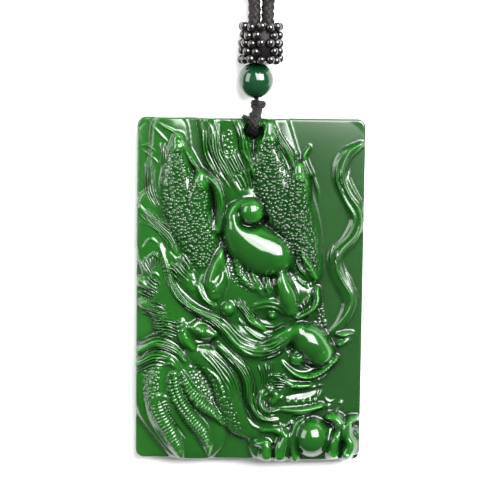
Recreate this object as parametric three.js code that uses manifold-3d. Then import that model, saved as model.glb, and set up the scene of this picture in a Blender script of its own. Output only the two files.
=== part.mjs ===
// A carved green stone tablet with a dragon's head in high relief, hung from a cord.
// It lies on its back: +Z is out of the carved face, +Y is towards the hanging hole.
// Millimetres. The origin is the middle of the tablet's flat back.

import * as THREE from 'three';
import * as BufferGeometryUtils from 'three/addons/utils/BufferGeometryUtils.js';
import Module from 'manifold-3d';

const wasm = await Module();
wasm.setup();

// The tablet
const plaqueWidth = 42;
const plaqueLength = 64;
const cornerRadius = 1.6;
const groundThickness = 4.9;
const reliefThickness = 8.8;
const sideDrop = 0.5;
const endDrop = 0.5;
const rimBand = 0.45;
const rimChamfer = 0.3;

// The hole near the top edge, and the channel behind it that the loop lies in
const holeRadius = 1.2;
const holeInset = 2.6;
const holeOffset = 0.3;
const channelDepth = 1.8;
const channelSideGap = 0.35;

// The tablet lies on its back, and the cord with what is strung on it lies this much higher
const lyingGap = 0.3;

// The flat braided loop through the hole
const strapWidth = 2.0;
const strapThickness = 1.25;
const strapFloorGap = 0.15;
const loopRise = 1.4;

// The knot, the round bead and the collar of seed beads, one above the other
const knotWidth = 3.0;
const knotLength = 1.75;
const knotDepth = 2.9;
const knotStandOff = 1.55;
const beadRadius = 3.28;
const seedRadius = 0.84;
const seedRows = 5;
const seedsPerRow = 12;
const seedRingRadius = 3.4;
const seedRowPitch = 1.5;
const seedNesting = 0.2;
const seedSeat = 0.3;
const meetingGap = 0.3;
const knotLean = 0.8;
const beadLean = 0.4;
const collarLean = 1.2;

// The neck cord
const cordDiameter = 2.3;
const strandSpacing = 2.45;
const coilMeanDiameter = 27.6;
const coilTurnsAcross = 4;
const coilLayers = 2;
const coilStandOff = 28.2;

// How finely the relief and the curves are cut into flat faces
const cellsAcross = 41;
const cellsAlong = 60;
const curveSteps = 18;
const thinnest = 0.1;
const lowestLevel = -0.2;
const cordSides = 8;

const plaqueTop = plaqueLength / 2;
const holeX = holeOffset;
const holeY = plaqueTop - holeInset;
const reliefDepth = reliefThickness - groundThickness;

// The carving's curves are drawn on a tablet of this size and follow the real one's sides
const drawnWidth = 42;
const drawnLength = 63;

function smoothCurve(vectors) {
  return new THREE.CatmullRomCurve3(vectors, false, 'catmullrom', 0.5);
}

// A stroke of the carving: a curve through its points, with a half width and a height at each
function stroke(points, halfWidths, heights) {
  const course = smoothCurve(points.map(([x, y]) => new THREE.Vector3(x, y, 0)));
  const size = smoothCurve(points.map((_, k) => new THREE.Vector3(halfWidths[k], heights[k], 0)));
  const samples = [];
  for (let step = 0; step <= curveSteps; step += 1) {
    const share = step / curveSteps;
    const { x, y } = course.getPoint(share);
    const { x: halfWidth, y: height } = size.getPoint(share);
    samples.push({ x, y, halfWidth: Math.max(halfWidth, thinnest), height });
  }
  return samples;
}

// How far a place is from a stroke, where 1 is the stroke's side, and the height there
function nearest(samples, x, y) {
  let best = { reach: Infinity, height: 0 };
  for (let k = 0; k + 1 < samples.length; k += 1) {
    const a = samples[k];
    const b = samples[k + 1];
    const dx = b.x - a.x;
    const dy = b.y - a.y;
    const share = THREE.MathUtils.clamp(((x - a.x) * dx + (y - a.y) * dy) / (dx * dx + dy * dy), 0, 1);
    const away = Math.hypot(x - a.x - share * dx, y - a.y - share * dy);
    const reach = away / THREE.MathUtils.lerp(a.halfWidth, b.halfWidth, share);
    if (reach < best.reach) {
      best = { reach, height: THREE.MathUtils.lerp(a.height, b.height, share) };
    }
  }
  return best;
}

const carving = [];

// A raised form. Heights are shares of the relief's depth above the ground.
// Fullness 0.5 is as round as a rod, and 1 is a low swell.
function raise(points, halfWidths, heights, fullness = 0.6) {
  const samples = stroke(points, halfWidths, heights);
  carving.push((x, y, level) => {
    const { reach, height } = nearest(samples, x, y);
    return reach < 1 ? Math.max(level, height * (1 - reach * reach) ** fullness) : level;
  });
}

// A ridge laid on what is already there
function ridge(points, halfWidths, heights) {
  const samples = stroke(points, halfWidths, heights);
  carving.push((x, y, level) => {
    const { reach, height } = nearest(samples, x, y);
    return reach < 1 ? level + height * (1 - reach * reach) : level;
  });
}

// A groove or hollow cut into what is already there
function hollow(points, halfWidths, depths) {
  ridge(points, halfWidths, depths.map((depth) => -depth));
}

// A round boss
function boss(x, y, radius, height) {
  raise([[x, y], [x + 0.01, y]], [radius, radius], [height, height]);
}

function carveMasses() {
  raise([[-5.2, 33], [-4.6, 26], [-3.2, 20.5], [-1.4, 16]],
    [5, 4.4, 3.8, 3.2], [0.24, 0.3, 0.38, 0.42], 0.5);
  raise([[-15, 29], [-14.6, 22], [-13, 15], [-9.6, 7]],
    [3.4, 4.2, 5.2, 4.4], [0.14, 0.24, 0.34, 0.38], 0.8);
  raise([[4, 30], [5.4, 21], [8.2, 12], [10.4, 4]], [3, 4.6, 4.6, 3.2], [0.14, 0.28, 0.36, 0.38], 0.8);
  raise([[-6.4, 0.6], [0.4, -1.6], [7.0, -1.8]], [6.6, 7, 6.0], [0.44, 0.5, 0.5], 0.6);
  raise([[-17.6, 15], [-16.6, 8], [-14.4, 0], [-12.6, -7]],
    [3.6, 4.4, 4.6, 5], [0.16, 0.24, 0.34, 0.4], 0.8);
  raise([[-2, -9], [4, -13], [5.4, -18], [4.4, -23]], [5, 7.4, 7.6, 6.6], [0.5, 0.5, 0.42, 0.3], 0.7);
  raise([[-15.6, -14], [-14.2, -20], [-10.4, -26]], [6, 7, 6.4], [0.44, 0.42, 0.28], 0.7);
  raise([[3.6, -28.6], [11, -28.2], [18.4, -28]], [3.4, 3.6, 3.2], [0.3, 0.36, 0.32], 0.7);
}

function carveMane() {
  raise([[-7.2, 31.6], [-6.6, 27], [-4.8, 22.8], [-2, 18.4]],
    [1.9, 1.8, 1.7, 1.2], [0.32, 0.38, 0.46, 0.5], 0.7);
  raise([[-2.6, 31.6], [-1.4, 28.2], [-0.9, 25.4], [0.6, 21.5]],
    [1.5, 1.3, 1.2, 0.7], [0.34, 0.38, 0.42, 0.42], 0.7);
  raise([[-15.6, 29.4], [-12.6, 26.4], [-9.6, 22]], [0.5, 0.9, 0.6], [0.14, 0.24, 0.34], 1);
  raise([[-8.7, 21.3], [-6.2, 19], [-5.3, 15], [-6, 11]],
    [0.6, 1.3, 1.4, 0.8], [0.42, 0.46, 0.44, 0.4], 0.8);
  raise([[3.8, 31.2], [4.6, 28.4], [7, 25], [7.8, 22.4]],
    [0.6, 1.1, 1.1, 0.6], [0.22, 0.3, 0.34, 0.36], 0.8);
  raise([[10.6, 26.4], [9.8, 24.4], [11, 21.4]], [0.3, 0.45, 0.5], [0.16, 0.24, 0.24], 1);
}

function carveAntlers() {
  const trunkLeft = [[-13.5, 27.8], [-13.8, 24], [-13.4, 19], [-11.8, 14], [-9.8, 9.5], [-8.9, 4.6]];
  raise(trunkLeft, [1.2, 2.2, 3.6, 4.4, 3.8, 1.8], [0.4, 0.5, 0.56, 0.6, 0.58, 0.44], 0.5);
  raise([[-9.2, 20.9], [-9.9, 17.6], [-10.8, 13.5]], [1.3, 2.5, 3.2], [0.6, 0.68, 0.64], 0.5);
  const trunkRight = [[3.1, 30.4], [3.0, 26.5], [3.9, 21.5], [5.9, 16.8], [8.8, 11.2], [11.2, 4.6]];
  raise(trunkRight, [1.0, 2.2, 3.6, 4.6, 3.4, 1.7], [0.4, 0.52, 0.56, 0.62, 0.58, 0.46], 0.5);
  raise([[8.7, 22.8], [8.6, 19.8], [7.6, 15.8]], [1.2, 2.4, 3.4], [0.58, 0.7, 0.66], 0.5);
}

function carveTips() {
  boss(-13.4, 26.2, 1.7, 0.56);
  boss(-9.1, 19.4, 1.6, 0.76);
  boss(3.6, 27.8, 1.7, 0.58);
  boss(8.8, 21.0, 1.7, 0.78);
}

function carveHorn() {
  raise([[-2.9, 13.6], [-2.6, 11.4], [-0.6, 8.9], [2, 7.2], [4.2, 6.5]],
    [1.6, 2.6, 3.9, 4.5, 4.1], [0.76, 0.86, 0.96, 1, 0.96], 0.55);
  raise([[-3.4, 11.8], [-3.4, 14.2], [-2.2, 15.9], [-0.2, 16.1], [1.0, 15.2]],
    [1.5, 1.4, 1.2, 1.4, 1.6], [0.74, 0.72, 0.68, 0.68, 0.7], 0.55);
  hollow([[2.9, 13.4], [1.0, 11.9], [-1.3, 12.2], [-2.6, 13.8]],
    [0.5, 0.6, 0.6, 0.4], [0.3, 0.32, 0.3, 0.1]);
  boss(0.1, 14.8, 2.55, 0.96);
}

function carveEarAndCheek() {
  raise([[-15, 6.5], [-12.4, 3.4], [-10.4, 0.6]], [2.2, 2.8, 2.2], [0.34, 0.42, 0.44], 1);
  raise([[-5.1, 7.7], [-5.9, 4.8], [-6.3, 1.6], [-6.6, -0.6]],
    [0.3, 1.7, 2.7, 1.9], [0.56, 0.7, 0.76, 0.66], 0.7);
  hollow([[-5.5, 5.4], [-5.8, 3.2], [-6.6, 1.4]], [0.5, 0.9, 0.6], [0.08, 0.18, 0.06]);
  raise([[-9.6, 1.2], [-8.5, -1], [-6.4, -2.7]], [0.5, 0.9, 0.5], [0.54, 0.6, 0.6]);
  boss(-3.8, -3, 1.8, 0.76);
  raise([[-2.4, 5.6], [-1.5, 3], [0.5, 1], [3.4, 0.6]], [1.2, 1.6, 1.6, 1.0], [0.56, 0.6, 0.62, 0.62], 1);
  raise([[5.9, 3.6], [6.2, 1.6], [7.0, -0.8], [7.8, -3]], [0.9, 1.9, 2.4, 1.9], [0.82, 0.88, 0.9, 0.74]);
  raise([[0.4, 3.4], [1.4, 1.4], [2.4, -0.4]], [0.4, 0.9, 1.1], [0.62, 0.68, 0.62], 0.8);
  raise([[3.2, 2.6], [3.4, 1], [3.6, -0.6]], [0.4, 0.9, 1.0], [0.64, 0.7, 0.62], 0.8);
  raise([[9.6, 8], [11, 4.4], [12.2, 2.6]], [0.5, 1.5, 0.6], [0.56, 0.62, 0.5], 0.8);
  raise([[12.5, 0.6], [12.5, -1.8], [11.1, -3.5], [8.8, -4.6]],
    [0.4, 0.6, 0.7, 0.6], [0.5, 0.54, 0.6, 0.64], 0.8);
}

function carveBrowAndNose() {
  raise([[-16.6, 8.2], [-15.2, 4.6], [-13.6, 0], [-10.4, -3], [-6, -5.4]],
    [0.7, 1.1, 1.2, 1.3, 1.5], [0.32, 0.4, 0.46, 0.56, 0.62], 0.9);
  raise([[-7, -5], [-4.2, -7.2], [-1.8, -9.8], [1.5, -10.9], [4.5, -9.8], [7.2, -7.8], [9.4, -6.8]],
    [1.1, 1.5, 2, 2.1, 2.1, 2, 1.6], [0.62, 0.68, 0.72, 0.76, 0.8, 0.84, 0.84], 0.6);
  hollow([[0.4, -4.2], [3.4, -4.6], [6, -4.8]], [1.2, 1.7, 1.1], [0.1, 0.2, 0.1]);
  boss(4.2, -4.2, 1.05, 0.64);
  raise([[-2.4, -2.2], [-0.6, -3.2], [0.6, -5.4], [2.6, -6.8]],
    [0.8, 1.3, 1.2, 0.7], [0.58, 0.66, 0.64, 0.58], 0.8);
  raise([[0.4, -2.6], [3, -1.7], [5.6, -2.2], [7.2, -4]],
    [0.5, 0.8, 0.9, 0.5], [0.6, 0.7, 0.72, 0.64], 0.8);
  raise([[-12.5, -5.6], [-12, -8.4], [-10.4, -10.6]], [0.9, 1.6, 0.9], [0.5, 0.6, 0.5], 0.8);
  raise([[-11, -6.6], [-8.8, -7.2], [-6.2, -8]], [1.0, 2.3, 0.8], [0.5, 0.62, 0.55], 1);
  boss(-8.8, -7.1, 1.6, 0.72);
}

function carveSnout() {
  raise([[9.3, -7.5], [11.2, -9.2], [13.2, -11.2]], [2.3, 3.4, 2.8], [0.88, 1, 0.9]);
  boss(9.0, -12, 2.0, 0.76);
  raise([[6.2, -12.8], [8.4, -15], [11.2, -15.5], [13.8, -14.4], [16.3, -12.2]],
    [0.4, 0.7, 0.7, 0.7, 0.4], [0.6, 0.66, 0.68, 0.68, 0.6], 0.8);
  raise([[-11.2, -11.4], [-7.4, -12.9], [-4.6, -16], [-3.4, -20], [-2, -24], [1.6, -26.6]],
    [1.4, 2.4, 2.8, 2.8, 2.6, 1.4], [0.3, 0.34, 0.36, 0.36, 0.32, 0.24], 0.4);
  raise([[-5.6, -10], [-2.2, -13], [-0.2, -16], [0.5, -20], [2.3, -23], [4.8, -24]],
    [0.7, 1.4, 1.5, 1.4, 1.2, 0.6], [0.52, 0.56, 0.56, 0.52, 0.48, 0.42], 0.9);
}

function carveMouth() {
  raise([[3.4, -17.6], [5.2, -19], [4.6, -20.4]], [0.6, 1.4, 1.1], [0.5, 0.58, 0.52], 0.8);
  raise([[2.6, -18.4], [2.2, -20.4], [3.6, -22.1], [6.6, -21.6]],
    [0.5, 0.8, 0.8, 0.4], [0.52, 0.58, 0.58, 0.46], 0.8);
  raise([[0.9, -19], [1.0, -21.4], [2.6, -23.4], [5.6, -23.8]],
    [0.5, 0.9, 0.9, 0.4], [0.48, 0.54, 0.54, 0.42], 0.8);
  raise([[6.4, -21.8], [9.8, -21.9], [13.6, -21.2]], [0.7, 0.9, 0.5], [0.5, 0.54, 0.44], 0.8);
  hollow([[7.4, -19], [10.2, -18.6], [13, -18]], [0.7, 1.0, 0.6], [0.08, 0.16, 0.06]);
  raise([[5.6, -16], [8.6, -17.2], [11.4, -17.2]], [0.6, 1.0, 0.6], [0.56, 0.58, 0.5], 0.8);
}

function carvePearlAndClaws() {
  boss(11.9, -27.1, 3.6, 0.9);
  raise([[14.8, -23.2], [16.6, -23.6], [17.6, -25.6], [16.3, -27.4], [15.8, -29.6]],
    [0.5, 1.1, 1.3, 1.5, 1.7], [0.46, 0.58, 0.64, 0.68, 0.62], 0.7);
  raise([[20.3, -23.4], [18.8, -24.2], [18.6, -26.6], [19.2, -28.2], [18.4, -30]],
    [0.4, 0.9, 1.2, 1.5, 1.5], [0.4, 0.52, 0.6, 0.64, 0.58], 0.7);
  raise([[2.4, -25.8], [4.8, -25.6], [7, -26.6], [6.4, -28.6], [6, -30.2]],
    [0.4, 0.9, 1.4, 1.7, 1.9], [0.4, 0.5, 0.6, 0.66, 0.64], 0.7);
  raise([[1.7, -28.2], [3.4, -28.4], [3.6, -30.2]], [0.6, 1.3, 1.8], [0.44, 0.56, 0.62], 0.7);
  raise([[10.4, -23.4], [8.8, -25], [8.3, -28.4], [8.9, -31]],
    [0.4, 0.8, 1, 1], [0.4, 0.5, 0.54, 0.5], 0.7);
}

function carvePaw() {
  raise([[-20.6, -11.4], [-17, -9.8], [-13.8, -10.8], [-11.8, -13]],
    [0.8, 1.2, 1.2, 0.6], [0.44, 0.52, 0.54, 0.48], 0.8);
  raise([[-20.8, -13.8], [-17.6, -12.1], [-14.6, -12.6], [-12.8, -14.6]],
    [0.8, 1.3, 1.3, 0.8], [0.46, 0.56, 0.58, 0.52], 0.8);
  raise([[-16.8, -14.6], [-17.3, -18.6], [-16.6, -22.6], [-14.6, -26.4], [-12.9, -29.4], [-12.3, -31.2]],
    [2.3, 2.6, 2.5, 2.1, 1.5, 0.5], [0.54, 0.6, 0.6, 0.56, 0.46, 0.26], 0.7);
  raise([[-13.8, -15.4], [-13.2, -19.4], [-11, -23.2], [-8.8, -25.9], [-7.6, -28.3], [-7.3, -30.4]],
    [1.4, 1.8, 1.9, 1.9, 1.3, 0.4], [0.58, 0.64, 0.62, 0.56, 0.46, 0.26], 0.7);
  raise([[-12.4, -15.2], [-10.8, -18.6], [-8.6, -21.2], [-6.3, -22.9], [-4.6, -24.8]],
    [0.8, 1.5, 1.6, 1.2, 0.4], [0.52, 0.56, 0.54, 0.46, 0.32], 0.7);
}

function carveRibbon() {
  raise([[20.2, 27], [17, 24.6], [16.5, 21], [18.4, 17], [19.8, 13.4], [18.2, 9.6], [15.6, 6.4],
    [16.6, 2.6], [18.6, -1.4], [17.4, -5.2], [14.8, -7.8]],
    [0.4, 1.2, 1.4, 1.4, 1.3, 1.3, 1.4, 1.4, 1.3, 1.0, 0.4],
    [0.03, 0.06, 0.07, 0.07, 0.07, 0.07, 0.08, 0.08, 0.08, 0.07, 0.05], 1);
  raise([[16.2, -7.8], [17.6, -8.0], [19.3, -7.6]], [0.25, 0.6, 0.2], [0.12, 0.18, 0.1], 0.8);
  raise([[16.5, -9.8], [17.4, -9.3], [18.8, -8.7]], [0.25, 0.5, 0.2], [0.12, 0.16, 0.1], 0.8);
}

function carveTufts() {
  raise([[-20.6, 15], [-17.6, 12.4], [-14.9, 9.6], [-13.6, 6.6]],
    [0.8, 1.8, 2.0, 1.0], [0.14, 0.22, 0.3, 0.36], 1);
  raise([[-19.6, 8], [-17.4, 5.6]], [0.9, 1.2], [0.16, 0.26], 1);
  raise([[-20, 1.4], [-16.8, 0.2]], [0.9, 1.3], [0.14, 0.26], 1);
  raise([[-19.6, -2.6], [-15.4, -4.6]], [0.9, 1.3], [0.16, 0.3], 1);
  raise([[-16.6, -6.8], [-14, -7.8]], [0.9, 1.2], [0.26, 0.34], 1);
}

carveMasses();
carveMane();
carveAntlers();
carveTips();
carveHorn();
carveEarAndCheek();
carveBrowAndNose();
carveSnout();
carveMouth();
carvePearlAndClaws();
carvePaw();
carveRibbon();
carveTufts();

// The ground is slightly crowned: it drops towards the sides and the ends
function groundLevel(x, y) {
  const sides = sideDrop * Math.abs((2 * x) / plaqueWidth) ** 3;
  const ends = endDrop * Math.abs((2 * y) / plaqueLength) ** 6;
  return -(sides + ends) / reliefDepth;
}

function faceHeight(x, y) {
  const drawnX = (x * drawnWidth) / plaqueWidth;
  const drawnY = (y * drawnLength) / plaqueLength;
  let level = groundLevel(x, y);
  for (const cut of carving) {
    level = cut(drawnX, drawnY, level);
  }
  return groundThickness + reliefDepth * THREE.MathUtils.clamp(level, lowestLevel, 1);
}

// Grid lines across a side: one at each edge, one a rim's band inside it, the rest evenly spread
function gridLines(length, cells) {
  const inner = length - 2 * rimBand;
  const lines = [-length / 2];
  for (let k = 0; k <= cells - 2; k += 1) {
    lines.push(-inner / 2 + (inner * k) / (cells - 2));
  }
  lines.push(length / 2);
  return lines;
}

// A grid point outside the rounded corner moves in to it
function insideCorner(x, y) {
  const centreX = Math.sign(x) * (plaqueWidth / 2 - cornerRadius);
  const centreY = Math.sign(y) * (plaqueTop - cornerRadius);
  const dx = x - centreX;
  const dy = y - centreY;
  const past = dx * Math.sign(x) > 0 && dy * Math.sign(y) > 0;
  const away = Math.hypot(dx, dy);
  if (!past || away <= cornerRadius) {
    return [x, y];
  }
  return [centreX + (dx * cornerRadius) / away, centreY + (dy * cornerRadius) / away];
}

function plaqueBlank() {
  const columns = gridLines(plaqueWidth, cellsAcross);
  const rows = gridLines(plaqueLength, cellsAlong);
  const positions = [];
  const index = [];
  rows.forEach((rowY, j) => {
    columns.forEach((columnX, i) => {
      const [x, y] = insideCorner(columnX, rowY);
      const onEdge = i === 0 || j === 0 || i === cellsAcross || j === cellsAlong;
      positions.push(x, y, faceHeight(x, y) - (onEdge ? rimChamfer : 0));
    });
  });
  const at = (i, j) => j * (cellsAcross + 1) + i;
  const heightOf = (vertex) => positions[3 * vertex + 2];
  for (let j = 0; j < cellsAlong; j += 1) {
    for (let i = 0; i < cellsAcross; i += 1) {
      const [a, b, c, d] = [at(i, j), at(i + 1, j), at(i + 1, j + 1), at(i, j + 1)];
      if (Math.abs(heightOf(a) - heightOf(c)) < Math.abs(heightOf(b) - heightOf(d))) {
        index.push(a, b, c, a, c, d);
      } else {
        index.push(a, b, d, b, c, d);
      }
    }
  }
  const edge = [];
  for (let i = 0; i < cellsAcross; i += 1) edge.push(at(i, 0));
  for (let j = 0; j < cellsAlong; j += 1) edge.push(at(cellsAcross, j));
  for (let i = cellsAcross; i > 0; i -= 1) edge.push(at(i, cellsAlong));
  for (let j = cellsAlong; j > 0; j -= 1) edge.push(at(0, j));
  const backStart = positions.length / 3;
  for (const vertex of edge) {
    positions.push(positions[3 * vertex], positions[3 * vertex + 1], 0);
  }
  edge.forEach((vertex, k) => {
    const next = (k + 1) % edge.length;
    index.push(vertex, backStart + k, backStart + next);
    index.push(vertex, backStart + next, edge[next]);
  });
  const outline = edge.map((vertex) => new THREE.Vector2(positions[3 * vertex], positions[3 * vertex + 1]));
  for (const [a, b, c] of THREE.ShapeUtils.triangulateShape(outline, [])) {
    index.push(backStart + a, backStart + c, backStart + b);
  }
  const geometry = new THREE.BufferGeometry();
  geometry.setAttribute('position', new THREE.Float32BufferAttribute(positions, 3));
  geometry.setIndex(index);
  return geometry;
}

// Geometry to solid and back, for the joins and cuts
function solidOf(geometry) {
  const bare = geometry.clone();
  bare.deleteAttribute('normal');
  bare.deleteAttribute('uv');
  const merged = BufferGeometryUtils.mergeVertices(bare, 1e-4);
  return new wasm.Manifold(new wasm.Mesh({
    numProp: 3,
    vertProperties: new Float32Array(merged.attributes.position.array),
    triVerts: new Uint32Array(merged.index.array),
  }));
}

function geometryOf(solid) {
  const mesh = solid.getMesh();
  const geometry = new THREE.BufferGeometry();
  geometry.setAttribute('position', new THREE.Float32BufferAttribute(mesh.vertProperties, 3));
  geometry.setIndex(new THREE.Uint32BufferAttribute(mesh.triVerts, 1));
  geometry.computeVertexNormals();
  return geometry;
}

function plaque() {
  const drill = new THREE.CylinderGeometry(holeRadius, holeRadius, 3 * reliefThickness, 16);
  drill.rotateX(Math.PI / 2);
  drill.translate(holeX, holeY, 0);
  const channelWidth = strapWidth + 2 * channelSideGap;
  const channelLength = holeInset + holeRadius;
  const channel = new THREE.BoxGeometry(channelWidth, 2 * channelLength, 2 * channelDepth);
  channel.translate(holeX, holeY - holeRadius + channelLength, 0);
  const cut = solidOf(plaqueBlank()).subtract(solidOf(drill)).subtract(solidOf(channel));
  return geometryOf(cut);
}

// A tube of eight or so sides, along a smooth curve through its points
function tube(points, width, thickness, steps) {
  const section = new THREE.Shape();
  for (let k = 0; k < cordSides; k += 1) {
    const turn = ((k + 0.5) * 2 * Math.PI) / cordSides;
    const corner = [(width / 2) * Math.cos(turn), (thickness / 2) * Math.sin(turn)];
    if (k === 0) {
      section.moveTo(...corner);
    } else {
      section.lineTo(...corner);
    }
  }
  section.closePath();
  const route = new THREE.CatmullRomCurve3(points, false, 'centripetal');
  return new THREE.ExtrudeGeometry(section, { extrudePath: route, steps, bevelEnabled: false });
}

// The chain of pieces above the tablet
const knotX = holeX + knotLean;
const knotY = plaqueTop + knotStandOff + knotLength / 2;
const knotZ = lyingGap + beadRadius;
const beadX = holeX + beadLean;
const beadZ = lyingGap + beadRadius;
const beadY = knotY + knotLength / 2 + meetingGap + beadRadius;
const collarX = holeX + collarLean;
const collarRadius = seedRingRadius + seedRadius;
const firstRowY = beadY + beadRadius + seedRadius - seedNesting;
const lastRowY = firstRowY + (seedRows - 1) * seedRowPitch;
const collarTop = lastRowY + seedRadius;
const collarZ = lyingGap + collarRadius;

function hangingLoop() {
  const overFace = groundThickness + loopRise + strapThickness / 2;
  const behind = strapFloorGap + strapThickness / 2;
  const knotFoot = knotY - knotLength / 2;
  const route = [
    [knotX - 0.2, knotFoot - 0.15, knotZ + 0.9],
    [knotX - 0.35, knotFoot - 0.9, knotZ + 2.3],
    [holeX + 0.2, plaqueTop - 0.2, overFace - 0.15],
    [holeX, holeY + 1.5, overFace],
    [holeX, holeY + 0.35, overFace - 0.85],
    [holeX, holeY - 0.2, groundThickness - 0.4],
    [holeX, holeY - 0.25, groundThickness / 2 + 0.4],
    [holeX, holeY + 0.25, behind + 0.7],
    [holeX, holeY + 1.5, behind + 0.1],
    [holeX + 0.1, plaqueTop + 0.1, behind + 0.05],
    [knotX - 0.3, knotFoot - 0.8, knotZ - 1.9],
    [knotX - 0.2, knotFoot - 0.15, knotZ - 0.9],
  ].map(([x, y, z]) => new THREE.Vector3(x, y, z));
  return tube(route, strapWidth, strapThickness, 26);
}

// A flattened ball with three wraps round it
function knot() {
  const ball = new THREE.SphereGeometry(1, 14, 9);
  const place = ball.attributes.position;
  for (let k = 0; k < place.count; k += 1) {
    const [x, y, z] = [place.getX(k), place.getY(k), place.getZ(k)];
    const turn = Math.atan2(z, x);
    const wrap = 1 + 0.09 * Math.cos(3 * turn + 4 * y) * (1 - y * y);
    place.setXYZ(k, (x * wrap * knotWidth) / 2, (y * knotLength) / 2, (z * wrap * knotDepth) / 2);
  }
  ball.translate(knotX, knotY, knotZ);
  return geometryOf(solidOf(ball));
}

function roundBead() {
  const ball = new THREE.SphereGeometry(beadRadius, 18, 12);
  ball.translate(beadX, beadY, beadZ);
  return geometryOf(solidOf(ball));
}

// Rows of seed beads woven into a sleeve round the cord
function seedCollar() {
  const coreLength = lastRowY - firstRowY + 2 * seedRadius - 2 * meetingGap;
  const coreRadius = seedRingRadius - seedSeat;
  const core = new THREE.CylinderGeometry(coreRadius, coreRadius, coreLength, seedsPerRow);
  core.translate(collarX, (firstRowY + lastRowY) / 2, collarZ);
  let sleeve = solidOf(core);
  for (let row = 0; row < seedRows; row += 1) {
    for (let seed = 0; seed < seedsPerRow; seed += 1) {
      const turn = ((seed + (row % 2) / 2) * 2 * Math.PI) / seedsPerRow;
      const ball = new THREE.IcosahedronGeometry(seedRadius, 0);
      ball.translate(
        collarX + seedRingRadius * Math.sin(turn),
        firstRowY + row * seedRowPitch,
        collarZ + seedRingRadius * Math.cos(turn),
      );
      sleeve = sleeve.add(solidOf(ball));
    }
  }
  return geometryOf(sleeve);
}

// The neck cord: two strands leave the sleeve side by side, part, and run into the coil
const coilCentre = { x: collarX, y: collarTop + coilStandOff };
const coilInner = coilMeanDiameter / 2 - (coilTurnsAcross * cordDiameter) / 2;
const coilOuter = coilMeanDiameter / 2 + (coilTurnsAcross * cordDiameter) / 2;

function neckStrand(side, coilEndHeight) {
  const lying = lyingGap + cordDiameter / 2;
  const half = strandSpacing / 2;
  const route = [
    [half, meetingGap, collarZ],
    [half, 2.6, collarZ - 0.5],
    [half + 0.5, 5.2, lying + 1.0],
    [half + 2.9, 7.7, lying + 0.2],
    [half + 7.2, 9.6, lying],
    [half + 11.0, 12.0, coilEndHeight],
    [half + 13.1, 14.2, coilEndHeight],
  ].map(([x, y, z]) => new THREE.Vector3(collarX + side * x, collarTop + y, z));
  return tube(route, cordDiameter, cordDiameter, 8);
}

function cordCoil() {
  const height = coilLayers * cordDiameter;
  const ring = new THREE.LatheGeometry([
    new THREE.Vector2(coilInner + 0.5, 0),
    new THREE.Vector2(coilOuter - 0.5, 0),
    new THREE.Vector2(coilOuter, 0.7),
    new THREE.Vector2(coilOuter, height - 0.7),
    new THREE.Vector2(coilOuter - 0.5, height),
    new THREE.Vector2(coilInner + 0.5, height),
    new THREE.Vector2(coilInner, height - 0.7),
    new THREE.Vector2(coilInner, 0.7),
    new THREE.Vector2(coilInner + 0.5, 0),
  ], 28);
  ring.rotateX(Math.PI / 2);
  ring.translate(coilCentre.x, coilCentre.y, lyingGap);
  return ring;
}

// Finishes
const stone = new THREE.MeshStandardMaterial({ color: 0x2d7a2f, roughness: 0.15, metalness: 0 });
const darkStone = new THREE.MeshStandardMaterial({ color: 0x145a38, roughness: 0.08, metalness: 0 });
const seedGlass = new THREE.MeshStandardMaterial({ color: 0x15110f, roughness: 0.2, metalness: 0 });
const brownCord = new THREE.MeshStandardMaterial({ color: 0x3c2a2a, roughness: 0.7, metalness: 0 });

function named(name, geometry, material) {
  const mesh = new THREE.Mesh(geometry, material);
  mesh.name = name;
  return mesh;
}

const pendant = new THREE.Group();
pendant.add(named('jade_plaque', plaque(), stone));
pendant.add(named('hanging_loop', hangingLoop(), brownCord));
pendant.add(named('lower_knot', knot(), brownCord));
pendant.add(named('green_bead', roundBead(), darkStone));
pendant.add(named('seed_bead_collar', seedCollar(), seedGlass));
pendant.add(named('neck_strand_left', neckStrand(-1, lyingGap + cordDiameter / 2), brownCord));
pendant.add(named('neck_strand_right', neckStrand(1, lyingGap + 1.5 * cordDiameter), brownCord));
pendant.add(named('neck_cord_coil', cordCoil(), brownCord));

export default pendant;
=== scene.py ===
# %% [markdown]
# # A carved dragon tablet on a braided cord
# The real object is a flat piece of polished green stone, carved with a dragon's head in
# high relief. A braided loop, a knot, a round bead and a sleeve of seed beads join it to the
# neck cord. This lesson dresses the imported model: every size comes from the frame or from a
# few named values, and each piece is made in its real place.

# %% Load the frame
import math

import bpy
import numpy as np
from mathutils import Matrix, Vector


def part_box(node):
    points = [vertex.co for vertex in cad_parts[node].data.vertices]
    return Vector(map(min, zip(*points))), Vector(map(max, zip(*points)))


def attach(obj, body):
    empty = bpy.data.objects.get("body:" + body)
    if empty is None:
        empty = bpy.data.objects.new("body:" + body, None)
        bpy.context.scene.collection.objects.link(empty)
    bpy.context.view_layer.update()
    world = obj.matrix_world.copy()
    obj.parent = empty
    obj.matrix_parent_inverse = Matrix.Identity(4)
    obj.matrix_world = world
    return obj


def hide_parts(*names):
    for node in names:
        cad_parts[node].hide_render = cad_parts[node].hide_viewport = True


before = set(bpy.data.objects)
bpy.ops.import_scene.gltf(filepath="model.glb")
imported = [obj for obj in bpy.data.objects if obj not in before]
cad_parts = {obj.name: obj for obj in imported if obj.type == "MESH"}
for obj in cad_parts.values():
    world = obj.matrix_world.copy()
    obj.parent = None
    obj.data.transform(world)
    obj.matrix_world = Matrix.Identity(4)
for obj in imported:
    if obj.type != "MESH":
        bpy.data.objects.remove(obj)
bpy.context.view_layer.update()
MM = 0.001
BODY = "root"
plaque_low, plaque_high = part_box("jade_plaque")
bead_low, bead_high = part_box("green_bead")
collar_low, collar_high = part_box("seed_bead_collar")
knot_low, knot_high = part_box("lower_knot")
coil_low, coil_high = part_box("neck_cord_coil")
print("tablet, metres:", [round(b - a, 4) for a, b in zip(plaque_low, plaque_high)])

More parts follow.
